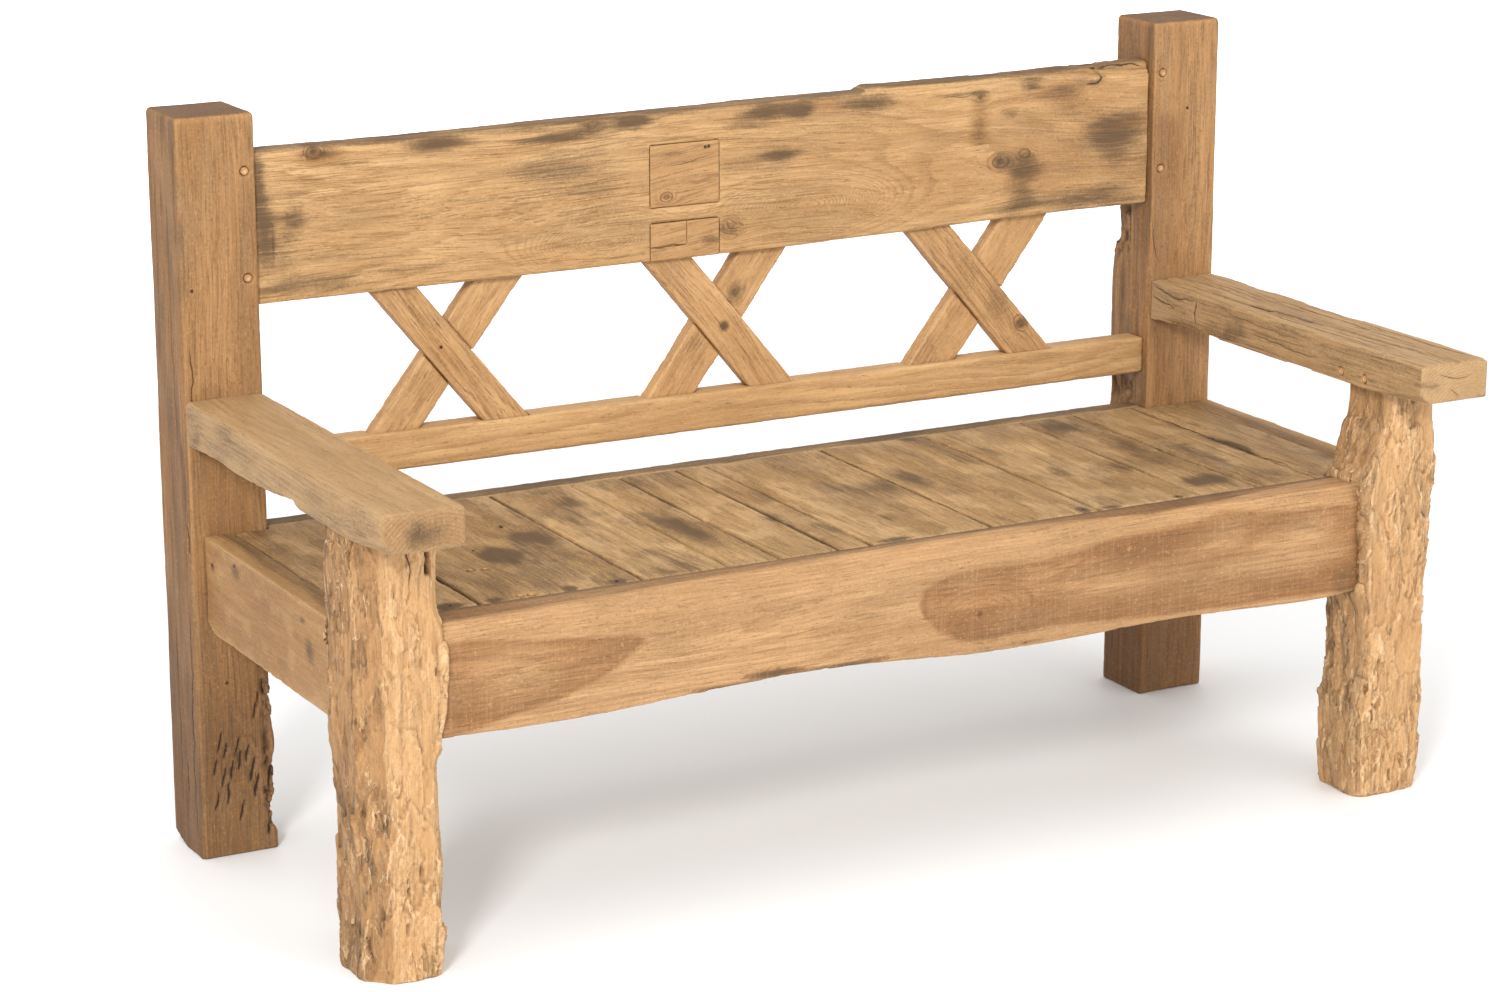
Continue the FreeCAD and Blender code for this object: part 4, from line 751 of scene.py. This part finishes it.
SLAB_PALE_TOP = ((-200, 420, 500, 20, 50), (200, 435, 700, 12, 90))
SLAB_ROT = ((-338, 300, 30, 6, 100), (-50, 300, 40, 4, 80), (160, 300, 40, 4, 80))
SLAB_BRIM = (
    (-690, -236), (-450, -226), (-150, -210), (150, -202), (250, -212), (360, -232), (480, -222),
    (620, -200),
)


def slab_marks(timber):
    """Front rail: two fields of heartwood, and a dark strip along the back of its top."""
    marks = timber.marks
    points = timber.points
    left = from_outline(points, FRONT, LEFT_HEARTWOOD)
    right = from_outline(points, FRONT, RIGHT_HEARTWOOD)
    waver = 0.010 * (layered(points, (0.07, 0.07, 0.03), 77, 3) - 0.5)
    reach = np.minimum(left, right) + waver
    pale = blots(points, FRONT, SLAB_PALE, 1.2, 5, (0.06, 0.03, 0.02))
    dark = blots(points, FRONT, SLAB_DARK, 1.2, 25, (0.08, 0.03, 0.018))
    rim = np.exp(-((reach + 0.002) / 0.004) ** 2) * 0.35
    inside = 1 - risen(reach, -0.006, 0.003)
    drift = layered(points, (0.06, 0.03, 0.025), 79, 4) - 0.5
    marks["heart_and_shade"] = np.clip(inside * (0.76 - 0.75 * pale + 0.4 * dark + 0.8 * drift) + rim, 0, 1)
    flames = np.sin(reach * 480 + 7 * layered(points, (0.12, 0.05, 0.02), 87, 2))
    flames *= risen(reach, 0.002, 0.008)
    marks["stain"] = 0.5 * dark * inside + 0.16 * np.clip(flames, 0, 1) * (1 - risen(reach, 0.02, 0.06))
    swirl = np.exp(-((points[:, 0] - 0.09) / 0.11) ** 2) * inside
    oval = np.hypot((points[:, 0] - 0.0825) / 2.3, points[:, 2] - 0.350)
    marks["ring"] = swirl * oval + (1 - swirl) * marks["ring"]
    marks["hollow"] = blots(points, FRONT, ((84, 350, 6, 4, 100),))
    brim = np.interp(points[:, 0], *np.transpose(SLAB_BRIM) / 1000)
    back = risen(points[:, 1] - brim, -0.002, 0.004) * risen(points[:, 2], 0.41, 0.43)
    red = blots(points, TOP, SLAB_RED, 1.0)
    low = blots(points, FRONT, SLAB_LOW, 1.0, 5, (0.08, 0.03, 0.012))
    joint = risen(points[:, 1], -0.200, -0.190) * risen(points[:, 2], 0.40, 0.42)
    marked(timber, "stain", np.maximum(np.maximum(0.6 * red * back, 0.46 * back + 0.3 * joint), low))
    marked(timber, "heart_and_shade", np.maximum(red * back, 0.8 * (low > 0.3)))
    pale_top = blots(points, FRONT, SLAB_PALE_TOP, 1.2)
    marked(timber, "worn", 0.8 * pale_top * (1 - back))
    rotten(timber, blots(points, FRONT, SLAB_ROT), 447, 0.005, (0.02, 0.012, 0.008))
    timber.shade(700)


BOARD_STAINS = (
    (-466, 0, 36, 50, 100), (-410, 62, 36, 50, 85), (-289, 195, 22, 60, 70), (-300, 250, 40, 20, 50),
    (-211, 0, 28, 95, 100), (-94, -18, 18, 50, 75), (-88, 40, 8, 100, 40), (-500, -80, 130, 120, 38),
    (-500, 120, 60, 80, 35), (114, 55, 60, 60, 50), (180, 72, 40, 70, 65), (510, 217, 42, 55, 75),
    (375, 20, 16, 40, 55), (420, -15, 30, 30, 40), (456, -5, 16, 55, 75), (390, 210, 30, 50, 35),
    (522, -125, 45, 35, 80), (530, 60, 35, 90, 55), (636, -131, 40, 35, 50), (665, 20, 14, 90, 80),
    (690, 145, 12, 50, 50), (282, 270, 20, 30, 70), (750, -90, 30, 60, 55), (-160, 240, 20, 50, 50),
    (600, 55, 40, 12, 50), (-660, 50, 80, 200, 35), (50, 220, 60, 50, 30), (-630, -175, 20, 12, 80),
    (-570, -178, 10, 10, 80), (-465, -178, 10, 12, 80), (-400, -176, 16, 12, 90), (-320, -172, 20, 14, 60),
    (0, -178, 30, 10, 70), (290, -170, 12, 20, 80), (330, -178, 20, 12, 80), (440, -178, 12, 8, 80),
)
DARK_SEAMS = {1: 0.8, 2: 0.8, 3: 0.7, 5: 0.5, 6: 0.8, 8: 0.9, 9: 0.9, 11: 0.5, 12: 0.6}
RUBBED_PLUGS = ((-532, -50, 16, 10, 80), (-527, -181, 14, 8, 80))


def board_marks(timber, number):
    """Seat board: water stains and scuffs that run on over the boards."""
    marks = timber.marks
    points, seed = timber.points, 60 + number
    inner = np.minimum(points[:, 0] - timber.low[0], timber.high[0] - points[:, 0])
    wander = layered(points, (0.03, 0.09, 0.03), seed, 3)
    seams = (1 - risen(inner, 0.0, 0.002 + 0.016 * wander ** 3)) * risen(wander, 0.35, 0.65)
    stain = 1.15 * blots(points, TOP, BOARD_STAINS, 1.5, 9, (0.025, 0.06, 0.025))
    front = 0.3 * (1 - risen(points[:, 1] + 0.186, 0.0, 0.015))
    clouds = 0.38 * patches(points, (0.05, 0.08, 0.05), 97, 0.46, 0.72, 4)
    streaks = 0.22 * patches(marks["fibre"], (0.12, 0.010, 0.010), seed + 3, 0.52, 0.75)
    tone = 0.16 * scrambled(np.array([[seed, seed, seed]]), 3)
    marks["stain"] = tone + np.maximum(np.maximum(stain, front), np.maximum(clouds + streaks, 0.55 * seams))
    water = layered(points, (0.035, 0.07, 0.035), 99, 4)
    marks["worn"] = 0.8 * risen(water, 0.52, 0.62)
    marked(timber, "stain", 0.5 * np.exp(-((water - 0.515) / 0.014) ** 2) * risen(wander, 0.4, 0.7))
    grooved(timber, seed + 5, 0.0006, 1.0, 0.006, 0.14, 0.54, 0.3)
    if number == 2:
        marked(timber, "worn", blots(points, TOP, RUBBED_PLUGS))
        cracked(timber, TOP, (6, 2, (-424, 122), (-420, 130)))
    if number == 12:
        cracked(timber, TOP, (1.6, 2, (667.5, 240), (668, 100), (670, 30), (668, -50), (673, -160)))
    timber.shade(500)
    # No pale rim of wear and painted highlight along the seams.
    marks["worn"] *= risen(inner, 0.001, 0.006)
    seam = DARK_SEAMS.get(number, 0.2) * (1 - risen(inner, 0.0, 0.0025))
    marks["hollow"] = np.maximum(marks["hollow"], seam)


FOOT_SLITS = (
    (-777.2, 212, 4, 14), (-778.8, 196, 4, 12), (-817.6, 160, 4, 16), (-806, 148, 4, 12),
    (-789.6, 152, 4, 14), (-779.6, 132, 5, 16), (-771.6, 140, 4, 14), (-788, 120, 4, 16),
    (-758.8, 116, 6, 18), (-814.4, 128, 4, 12), (-797.6, 112, 4, 14), (-786.4, 88, 5, 18),
    (-800, 80, 4, 14), (-747.6, 92, 7, 18), (-730, 100, 8, 22), (-712, 30, 6, 8), (-760, 60, 4, 14),
)
LEFT_POST_FACE = ((-725, 130, 40, 100, 35), (-750, 140, 40, 50, 30))
LEFT_POST_STAINS = (
    (-700, 955, 8, 40, 50), (-795, 800, 10, 200, 40), (-780, 330, 15, 100, 50), (-750, 635, 50, 20, 30),
)
LEFT_POST_CRACKS = (
    (3, 1.5, (283, 20), (285, 140), (280, 250), (284, 360)), (2, 1, (335, 60), (332, 200), (338, 320)),
    (2.5, 1.25, (310, 60), (312, 130)), (6, 3, (272, 420), (276, 460)),
    (1.5, 0.75, (300, 550), (303, 660), (299, 740)),
)
RIGHT_POST_REDS = ((710, 860, 20, 20, 60), (720, 800, 30, 60, 30))


def post_marks(timber, side):
    """Back post: damp foot, streaked sides with painted shade, rot and cracks."""
    points, facing = timber.points.copy(), timber.normals()
    low = 1 - risen(points[:, 2], 0.12, 0.5)
    front = facing[:, 1] < -0.5
    side_face = risen(-facing[:, 0], 0.5, 0.9)
    top = risen(facing[:, 2], 0.6, 0.9)
    streaks = 0.45 + 1.7 * (layered(points, (0.014, 0.014, 0.10), 91, 4) - 0.5)
    streaks *= 0.75 if side == "left" else 0.7
    foot = (0.48 if side == "left" else 0.38) * low
    # Weathering streaks on the side faces; the stain and heart marks also darken and warm the side faces as
    # painted shade.
    timber.marks["stain"] = np.maximum(foot, streaks * side_face) + 0.3 * top
    timber.marks["heart_and_shade"] = np.clip((0.5 if side == "left" else 0.6) * low + top + 0.5 * side_face, 0, 1)
    grooved(timber, 401, 0.0010, side_face, 0.007, 0.2)
    if side == "left":
        edge = np.hypot(np.maximum(-0.690 - points[:, 0], 0), (points[:, 1] - 0.265) * 0.7)
        worn = patches(points, (0.03, 0.03, 0.05), 305, 0.35, 0.6, 2)
        rise = points[:, 2]
        zone = (1 - risen(edge, 0.004, 0.028)) * risen(rise, 0.01, 0.05) * (1 - risen(rise, 0.22, 0.34))
        face = blots(points, FRONT, LEFT_POST_FACE) * front
        rotten(timber, np.maximum(zone * worn, 0.5 * face), 301, 0.015, (0.009, 0.009, 0.020))
        for across, up, half_across, half_up in FOOT_SLITS:
            ends = ((across + 0.3 * up + 0.2 * end * half_up, up + end * half_up) for end in (-1, 1))
            cracked(timber, FRONT, (0.5 * half_across, 3, *ends))
        marked(timber, "stain", 0.18 * front)
        marked(timber, "stain", 0.7 * face + 0.5 * zone)
        cracked(timber, END, *LEFT_POST_CRACKS)
        cracked(timber, FRONT, (1.5, 1, (-789, 600), (-788, 660), (-790, 700)))
        marked(timber, "stain", blots(points, FRONT, LEFT_POST_STAINS, 1.2))
    else:
        notch = blots(points, FRONT, ((688, 700, 16, 60, 100),)) * (points[:, 1] > 0.315)
        rotten(timber, notch, 307, 0.012)
        foot_hole = blots(points, FRONT, ((690, 460, 16, 30, 100),)) * (points[:, 1] > 0.3)
        rotten(timber, foot_hole, 311, 0.008)
        cracked(timber, FRONT, (1.2, 0, (690, 730), (695, 690), (704, 655)))
        marked(timber, "heart_and_shade", blots(points, FRONT, RIGHT_POST_REDS, 1.2) * front)
        marked(timber, "worn", blots(points, FRONT, ((745, 740, 40, 50, 50),), 1.2) * front)
    timber.shade(900)


LEFT_ARM_SIDE_STAINS = ((235, 585, 30, 20, 60), (150, 580, 50, 10, 50), (-50, 575, 40, 6, 40))
LEFT_ARM_END_STAINS = ((-757, 597, 22, 18, 65), (-735, 600, 35, 22, 35))
RIGHT_ARM_SIDE_STAINS = (
    (50, 600, 35, 18, 75), (210, 610, 60, 20, 40), (100, 595, 40, 30, 45), (170, 585, 80, 12, 50),
)
RIGHT_ARM_END_CRACKS = (
    (1, 0.4, (712, 621), (745, 611), (776, 616)), (1, 0.4, (735, 600), (752, 592), (748, 583)),
)
RIGHT_ARM_SIDE_CRACKS = (
    (1.4, 1.12, (262, 628), (225, 622), (185, 619), (150, 626)),
    (1.8, 1.44, (150, 628), (153, 605), (147, 588)), (1.5, 1.2, (262, 612), (240, 607), (200, 606)),
    (0.9, 0.72, (100, 630), (60, 622), (-20, 618), (-100, 616)),
    (1.2, 0.96, (30, 605), (-80, 600), (-160, 598)),
)
RIGHT_ARM_TOP_CRACKS = (
    (2.2, 1.76, (720, 240), (715, 120), (722, 0), (735, -160), (742, -370)),
    (1.8, 1.44, (765, 100), (770, -50), (768, -200)), (1.4, 1.12, (705, 60), (708, -120), (715, -300)),
    (1.4, 1.12, (745, 240), (750, 140), (748, 30)), (1.8, 1.44, (785, -100), (783, -250), (788, -360)),
)
RIGHT_ARM_WANE = ((800, -40, 18, 90, 100), (800, 140, 10, 50, 70))
RIGHT_ARM_ROT = ((180, 578, 60, 8, 100), (20, 576, 50, 6, 80))


def arm_marks(timber, side):
    """Arm: weathered top, stained sides and split ends."""
    points, facing = timber.points.copy(), timber.normals()
    if side == "left":
        outer = (facing[:, 0] < -0.5) * 1.0
        marked(timber, "stain", outer * 0.55 * layered(points, (0.03, 0.06, 0.02), 427, 3))
        marked(timber, "stain", outer * blots(points, END, LEFT_ARM_SIDE_STAINS, 1.2))
        ahead = (facing[:, 1] < -0.5) * 1.0
        marked(timber, "stain", ahead * blots(points, FRONT, LEFT_ARM_END_STAINS, 0.8))
        marked(timber, "heart_and_shade", ahead * 0.5)
        cracked(timber, FRONT, (0.9, 0, (-757, 618), (-752, 604), (-756, 592)))
        grooved(timber, 411, 0.0004, 1.0, 0.006, 0.14, 0.54, 0.2)
    else:
        ahead = (facing[:, 1] < -0.5) * 1.0
        marked(timber, "worn", 0.6 * ahead)
        clouds = patches(points, (0.03, 0.03, 0.008), 425, 0.55, 0.75)
        marked(timber, "stain", ahead * 0.5 * clouds)
        cracked(timber, FRONT, *RIGHT_ARM_END_CRACKS)
        up, inner = risen(facing[:, 2], 0.2, 0.8), (facing[:, 0] < -0.5) * 1.0
        grooved(timber, 413, 0.0018, up, 0.005, 0.22, 0.48, 0.35)
        grooved(timber, 415, 0.0008, (1 - up) * (np.abs(facing[:, 1]) < 0.5), 0.006, 0.12, 0.5, 0.35)
        marked(timber, "stain", inner * 0.45 * layered(points, (0.03, 0.06, 0.02), 429, 3))
        marked(timber, "stain", inner * blots(points, END, RIGHT_ARM_SIDE_STAINS, 1.4))
        cracked(timber, END, *RIGHT_ARM_SIDE_CRACKS)
        cracked(timber, TOP, *RIGHT_ARM_TOP_CRACKS)
        edge = blots(points, TOP, RIGHT_ARM_WANE) * (points[:, 2] > 0.61)
        rotten(timber, edge * (0.3 + 0.7 * layered(points, (0.02, 0.03, 0.02), 417, 2)), 419, 0.008,
               (0.012, 0.05, 0.012))
        under = blots(points, END, RIGHT_ARM_ROT)
        rotten(timber, under * inner, 421, 0.005, (0.012, 0.03, 0.012))
    timber.shade(900)


SIDE_RAIL_STAINS = (
    (238, 410, 10, 7, 80), (155, 425, 20, 12, 70), (-90, 385, 20, 20, 80), (-70, 420, 12, 6, 70),
    (50, 360, 50, 20, 30),
)


def side_rail_marks(timber):
    """Seat side rail: stains outside, dark along the top, pale scuffs."""
    points, facing = timber.points.copy(), timber.normals()
    outer = blots(points, END, SIDE_RAIL_STAINS, 1.0)
    outer = np.maximum(outer, 0.25 * patches(points, (0.03, 0.05, 0.04), 435, 0.50, 0.7, 4))
    marked(timber, "stain", outer * (facing[:, 0] < -0.5))
    marked(timber, "heart_and_shade", 0.6 * (facing[:, 0] < -0.5))
    inner = risen(points[:, 0], -0.775, -0.755) if points[0, 0] < 0 else 1 - risen(points[:, 0], 0.77, 0.79)
    marked(timber, "stain", 0.6 * inner * risen(facing[:, 2], 0.3, 0.8))
    marked(timber, "worn", 0.5 * patches(points, (0.014, 0.03, 0.014), 431, 0.48, 0.72, 4))
    timber.shade(700)


BRACE_KNOTS = {
    "brace_right_falling": ((479, 284, 589, 11),), "brace_middle_falling": ((-5, 284, 637, 4),),
    "brace_middle_rising": ((17, 289, 682, 9),),
}
RISING_BRACE_STAINS = (
    (-350, 545, 20, 20, 80), (-420, 640, 20, 30, 50), (17, 682, 20, 20, 70), (-50, 620, 20, 20, 50),
)
FALLING_BRACE_STAINS = (
    (-5, 637, 8, 8, 90), (380, 670, 30, 50, 45), (440, 620, 30, 40, 50), (479, 589, 16, 14, 70),
)


def brace_marks(timber):
    """Brace: the rising ones rough, the falling ones grooved."""
    points = timber.points
    if "rising" in timber.node:
        rough = patches(points, 0.04, 451, 0.45, 0.7, 2)
        rotten(timber, 0.35 * rough, 453 + len(timber.node), 0.003, (0.012, 0.012, 0.02))
        marked(timber, "worn", 0.75 * patches(points, 0.03, 455, 0.42, 0.62))
        marked(timber, "stain", blots(points, FRONT, RISING_BRACE_STAINS, 1.2))
        marked(timber, "calm", 0.4)
    else:
        grooved(timber, 457 + len(timber.node), 0.0006, 1.0, 0.006, 0.12, 0.52, 0.35)
        marked(timber, "stain", blots(points, FRONT, FALLING_BRACE_STAINS, 1.2))
    timber.shade(800)


def back_strip_marks(timber):
    """Rear seat rail: a cloudy stain on top."""
    cloudy = 0.35 + 0.6 * layered(timber.points, (0.08, 0.02, 0.02), 461, 3)
    marked(timber, "stain", cloudy * risen(timber.normals()[:, 2], 0.3, 0.8))


PATCH_KNOTS = ((-97.5, 274.2, 827.5, 8),)
PATCH_STAINS = (
    (-69, 873, 60, 4, 50), (-45, 845, 50, 3, 45), (-90, 885, 30, 4, 40), (-30, 765, 20, 12, 50),
    (-97.5, 827.5, 10, 7, 50),
)


def patch_marks(timber):
    """Repair: stains and fine cracks along its edges."""
    marked(timber, "stain", blots(timber.points, FRONT, PATCH_STAINS, 1.4, 5, (0.05, 0.02, 0.01)))
    cracked(timber, FRONT, (1, 0, (-100, 868), (-60, 874), (-20, 882)))
    cracked(timber, FRONT, (1.6, 0.5, (-120, 757), (-90, 758.5), (-70, 757)))
    timber.shade(300)


PEG_CENTRES = {"rail_pegs": (FRONT, ((-707, 778.5), (-707, 918), (702, 798.5), (702, 937))),
               "arm_pegs": (END, ((-230.5, 587), (-178.5, 587), (-249, 593), (-197, 593))),
               "seat_plugs": (TOP, ((-541, -42), (-523, -46.5), (-534, -174.4), (-520, -175.8)))}


def peg_marks(timber):
    """Peg ends: pale in the middle with a dark rim."""
    plane, centres = PEG_CENTRES[timber.node]
    away = np.full(len(timber.points), FAR)
    for centre in centres:
        away = np.minimum(away, np.hypot(*(timber.points[:, list(plane)] - np.array(centre) / 1000).T))
    away += 0.003 * (layered(timber.points, 0.003, 471, 2) - 0.5)
    timber.marks["worn"] = 0.8 - 0.8 * risen(away, 0.0008, 0.0034)
    timber.marks["stain"] = 0.12 * risen(away, 0.004, 0.0052)


for side, seed in (("left", 11), ("right", 23)):
    shaped("front_leg_" + side, 0.0020, UPRIGHT, (0.01, 0.02), seed, "hewn_log", 8, 0.7,
           marks=partial(leg_marks, side=side, seed=seed), blotch=0.2)
    shaped("back_post_" + side, 0.0027, UPRIGHT, (0.03, 0.09), seed + 2, "weathered_post", 2, swirl=0.02,
           marks=partial(post_marks, side=side))
    shaped("arm_" + side, 0.0026, CROSSWISE, (0.02, 0.06), seed + 4, "worn_arm", 3, 0.4,
           marks=partial(arm_marks, side=side), end_grain=0.1 if side == "left" else 0.0,
           calm=0.35 if side == "left" else 0.0, blotch=0.15)
    shaped("seat_side_rail_" + side, 0.0035, CROSSWISE, (0.01, 0.08), seed + 6, "weathered_post", 4,
           marks=side_rail_marks, blotch=0.15, calm=0.6, finish="side_rail")
shaped("top_back_rail", 0.003, LENGTHWISE, (0.0, 0.16), 31, "honey_rail", 2, marks=rail_marks, swirl=0.05,
       lean=(0.0, 0.03), knots=TOP_RAIL_KNOTS, blotch=0.2, spared=by_patches)
shaped("lower_back_rail", 0.0035, LENGTHWISE, (0.03, 0.1), 37, "honey_rail", 2, calm=0.8, blotch=0.1)
shaped("seat_front_rail", 0.003, LENGTHWISE, (0.02, 0.07), 41, "front_slab", 3, 0.4, marks=slab_marks,
       blotch=0.25, calm=0.25, spared=let_in)
shaped("seat_back_rail", 0.004, LENGTHWISE, (0.02, 0.08), 43, "seat_board_wood", 2, marks=back_strip_marks)
shaped("seat_ledger_back", 0.005, LENGTHWISE, (0.02, 0.05), 47, "seat_board_wood", 3)
shaped("seat_ledger_front", 0.005, LENGTHWISE, (0.02, 0.05), 53, "seat_board_wood", 3)
for number in range(1, 13):
    lean = (0.0, 0.04 * math.sin(number * 2.4))
    shaped(f"seat_board_{number:02d}", 0.0032, CROSSWISE, (0.04 * math.sin(number * 1.7), 0.05),
           60 + number, "seat_board_wood", 3, 0.75, 0.001, marks=partial(board_marks, number=number),
           lean=lean, blotch=0.25, calm=0.25)

for node in sorted(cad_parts):
    if node.startswith("brace"):
        low, high = boxed(node)
        drop = -1 if "falling" in node else 1
        run = (high[0] - low[0] - 0.085, 0, drop * (high[2] - low[2]))
        shaped(node, 0.003, run, (0.01, 0.07), 90 + len(node) + int(1000 * high[0]) % 97, "brace_wood", 2,
               marks=brace_marks, knots=BRACE_KNOTS.get(node, ()))
    elif node.startswith("rail_patch"):
        shaped(node, 0.0016, (1, 0, 0.12), (0.0, 0.05), 120 + len(node), "patch_wood", 1, 0.2, 0.0003,
               marks=patch_marks, knots=PATCH_KNOTS)
    elif "peg" in node or "plug" in node:
        shaped(node, 0.0012, CROSSWISE, (0.0, 0.0), 140 + len(node), "peg_wood", 2, 0.6, 0.0003,
               marks=peg_marks, blotch=0.0, end_grain=0.0)


NAILS = (
    (FRONT, ((-784, 264.9, 770), (-757, 264.9, 241), (746, 264.9, 883), (-431, 283.8, 654),
             (-38, 274.1, 891.5), (-32.7, 274.1, 892))),
    (END, ((-781, 238.5, 412), (-781, 158.5, 431))),
    (TOP, ((-424, 118, 444.5), (-502, 36, 444.5), (292, -172, 444.5), (-402, -176, 444.5),
           (-628, -174, 444.5), (440, -176, 444.5))),
)


def old_nails():
    """Small low iron heads, hammered flush, some of them sideways."""
    work = bmesh.new()
    for plane, places in NAILS:
        facing = mathutils.Vector(FACING[plane])
        turn = mathutils.Vector((0, 0, 1)).rotation_difference(facing).to_matrix().to_4x4()
        for place in places:
            place = mathutils.Vector([value / 1000 for value in place])
            made = bmesh.ops.create_cone(work, cap_ends=True, segments=12, radius1=0.0024, radius2=0.0017,
                                         depth=0.0012, matrix=mathutils.Matrix.Translation(place) @ turn)
            rims = [edge for edge in {edge for vert in made["verts"] for edge in vert.link_edges}
                    if all((vert.co - place).dot(facing) > 0 for vert in edge.verts)]
            bmesh.ops.bevel(work, geom=rims, offset=0.0004, segments=2, profile=0.5, affect="EDGES",
                            material=-1)
    bmesh.ops.recalc_face_normals(work, faces=work.faces)
    mesh = bpy.data.meshes.new("old_nails")
    work.to_mesh(mesh)
    work.free()
    mesh.polygons.foreach_set("use_smooth", np.ones(len(mesh.polygons), bool))
    n = Nodes("old_nail_iron")
    rust = n.noise(n.put("TexCoord").outputs["Object"], (900, 900, 900), 3, 0.6)
    n.join(n.mixed(n.ranged(rust, 0.35, 0.65), tint(38, 32, 28), tint(86, 58, 40)),
           n.shader.inputs["Base Color"])
    n.join(n.ranged(rust, 0.3, 0.7, 0.55, 0.8), n.shader.inputs["Roughness"])
    n.shader.inputs["Metallic"].default_value = 0.3
    mesh.materials.append(n.material)
    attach(added("old_nails", mesh), "root")


old_nails()


# ---- floor, light and camera

def floor():
    """Seamless pale floor."""
    work = bmesh.new()
    bmesh.ops.create_grid(work, x_segments=1, y_segments=1, size=30)
    mesh = bpy.data.meshes.new("studio_floor")
    work.to_mesh(mesh)
    work.free()
    n = Nodes("studio_floor_paper")
    speckle = n.noise(n.put("TexCoord").outputs["Object"], (1.5, 1.5, 1.5), 3, 0.5)
    n.join(n.mixed(n.ranged(speckle, 0.3, 0.7, 0.0, 0.3), (0.915, 0.95, 0.995, 1), (0.935, 0.965, 1.0, 1)),
           n.shader.inputs["Base Color"])
    n.shader.inputs["Roughness"].default_value = 0.55
    mesh.materials.append(n.material)
    added("studio_floor", mesh)


def softbox(name, place, aim, size, power, colour, spread=180):
    """Large square studio light."""
    light = bpy.data.lights.new(name, "AREA")
    light.shape, light.size, light.energy, light.color = "SQUARE", size, power, colour
    light.spread = math.radians(spread)
    lamp = added(name, light)
    lamp.location = place
    away = np.array(place, float) - np.array(aim)
    flat = math.hypot(away[0], away[1])
    lamp.rotation_euler = (math.atan2(flat, away[2]), 0, math.atan2(away[0], -away[1]))


floor()
softbox("overhead_softbox", (-0.4, -0.8, 4.4), (0, 0, 0.4), 4.2, 40, (1.0, 0.98, 0.95))
softbox("front_softbox", (2.4, -4.8, 2.4), (0, 0, 0.5), 3.0, 70, (1.0, 0.97, 0.93))
softbox("side_softbox", (-5.3, -5.9, 4.6), (0.2, 0, 0.5), 1.5, 500, (1.0, 0.97, 0.93))
softbox("backdrop_softbox", (4.0, 8.5, 4.0), (4.0, 8.5, 0), 9.0, 420, (1.0, 1.0, 1.0), 80)
world = bpy.data.worlds.new("studio")
world.use_nodes = True
world.node_tree.nodes["Background"].inputs["Color"].default_value = (1.0, 0.97, 0.93, 1)
world.node_tree.nodes["Background"].inputs["Strength"].default_value = 0.98
bpy.context.scene.world = world
bpy.context.scene.view_settings.view_transform = "Standard"

# The camera was solved from corners of the posts and arms in the photograph.
lens = bpy.data.cameras.new("photo_camera")
lens.lens, lens.sensor_width, lens.sensor_fit = 93.9218, 36, "HORIZONTAL"
lens.clip_end = 100
camera = added("photo_camera", lens)
camera.location = (-2.479021, -4.378936, 1.816033)
camera.rotation_euler = [math.radians(angle) for angle in (74.919128, 0.111250, -28.361826)]
bpy.context.scene.camera = camera

bpy.context.view_layer.update()
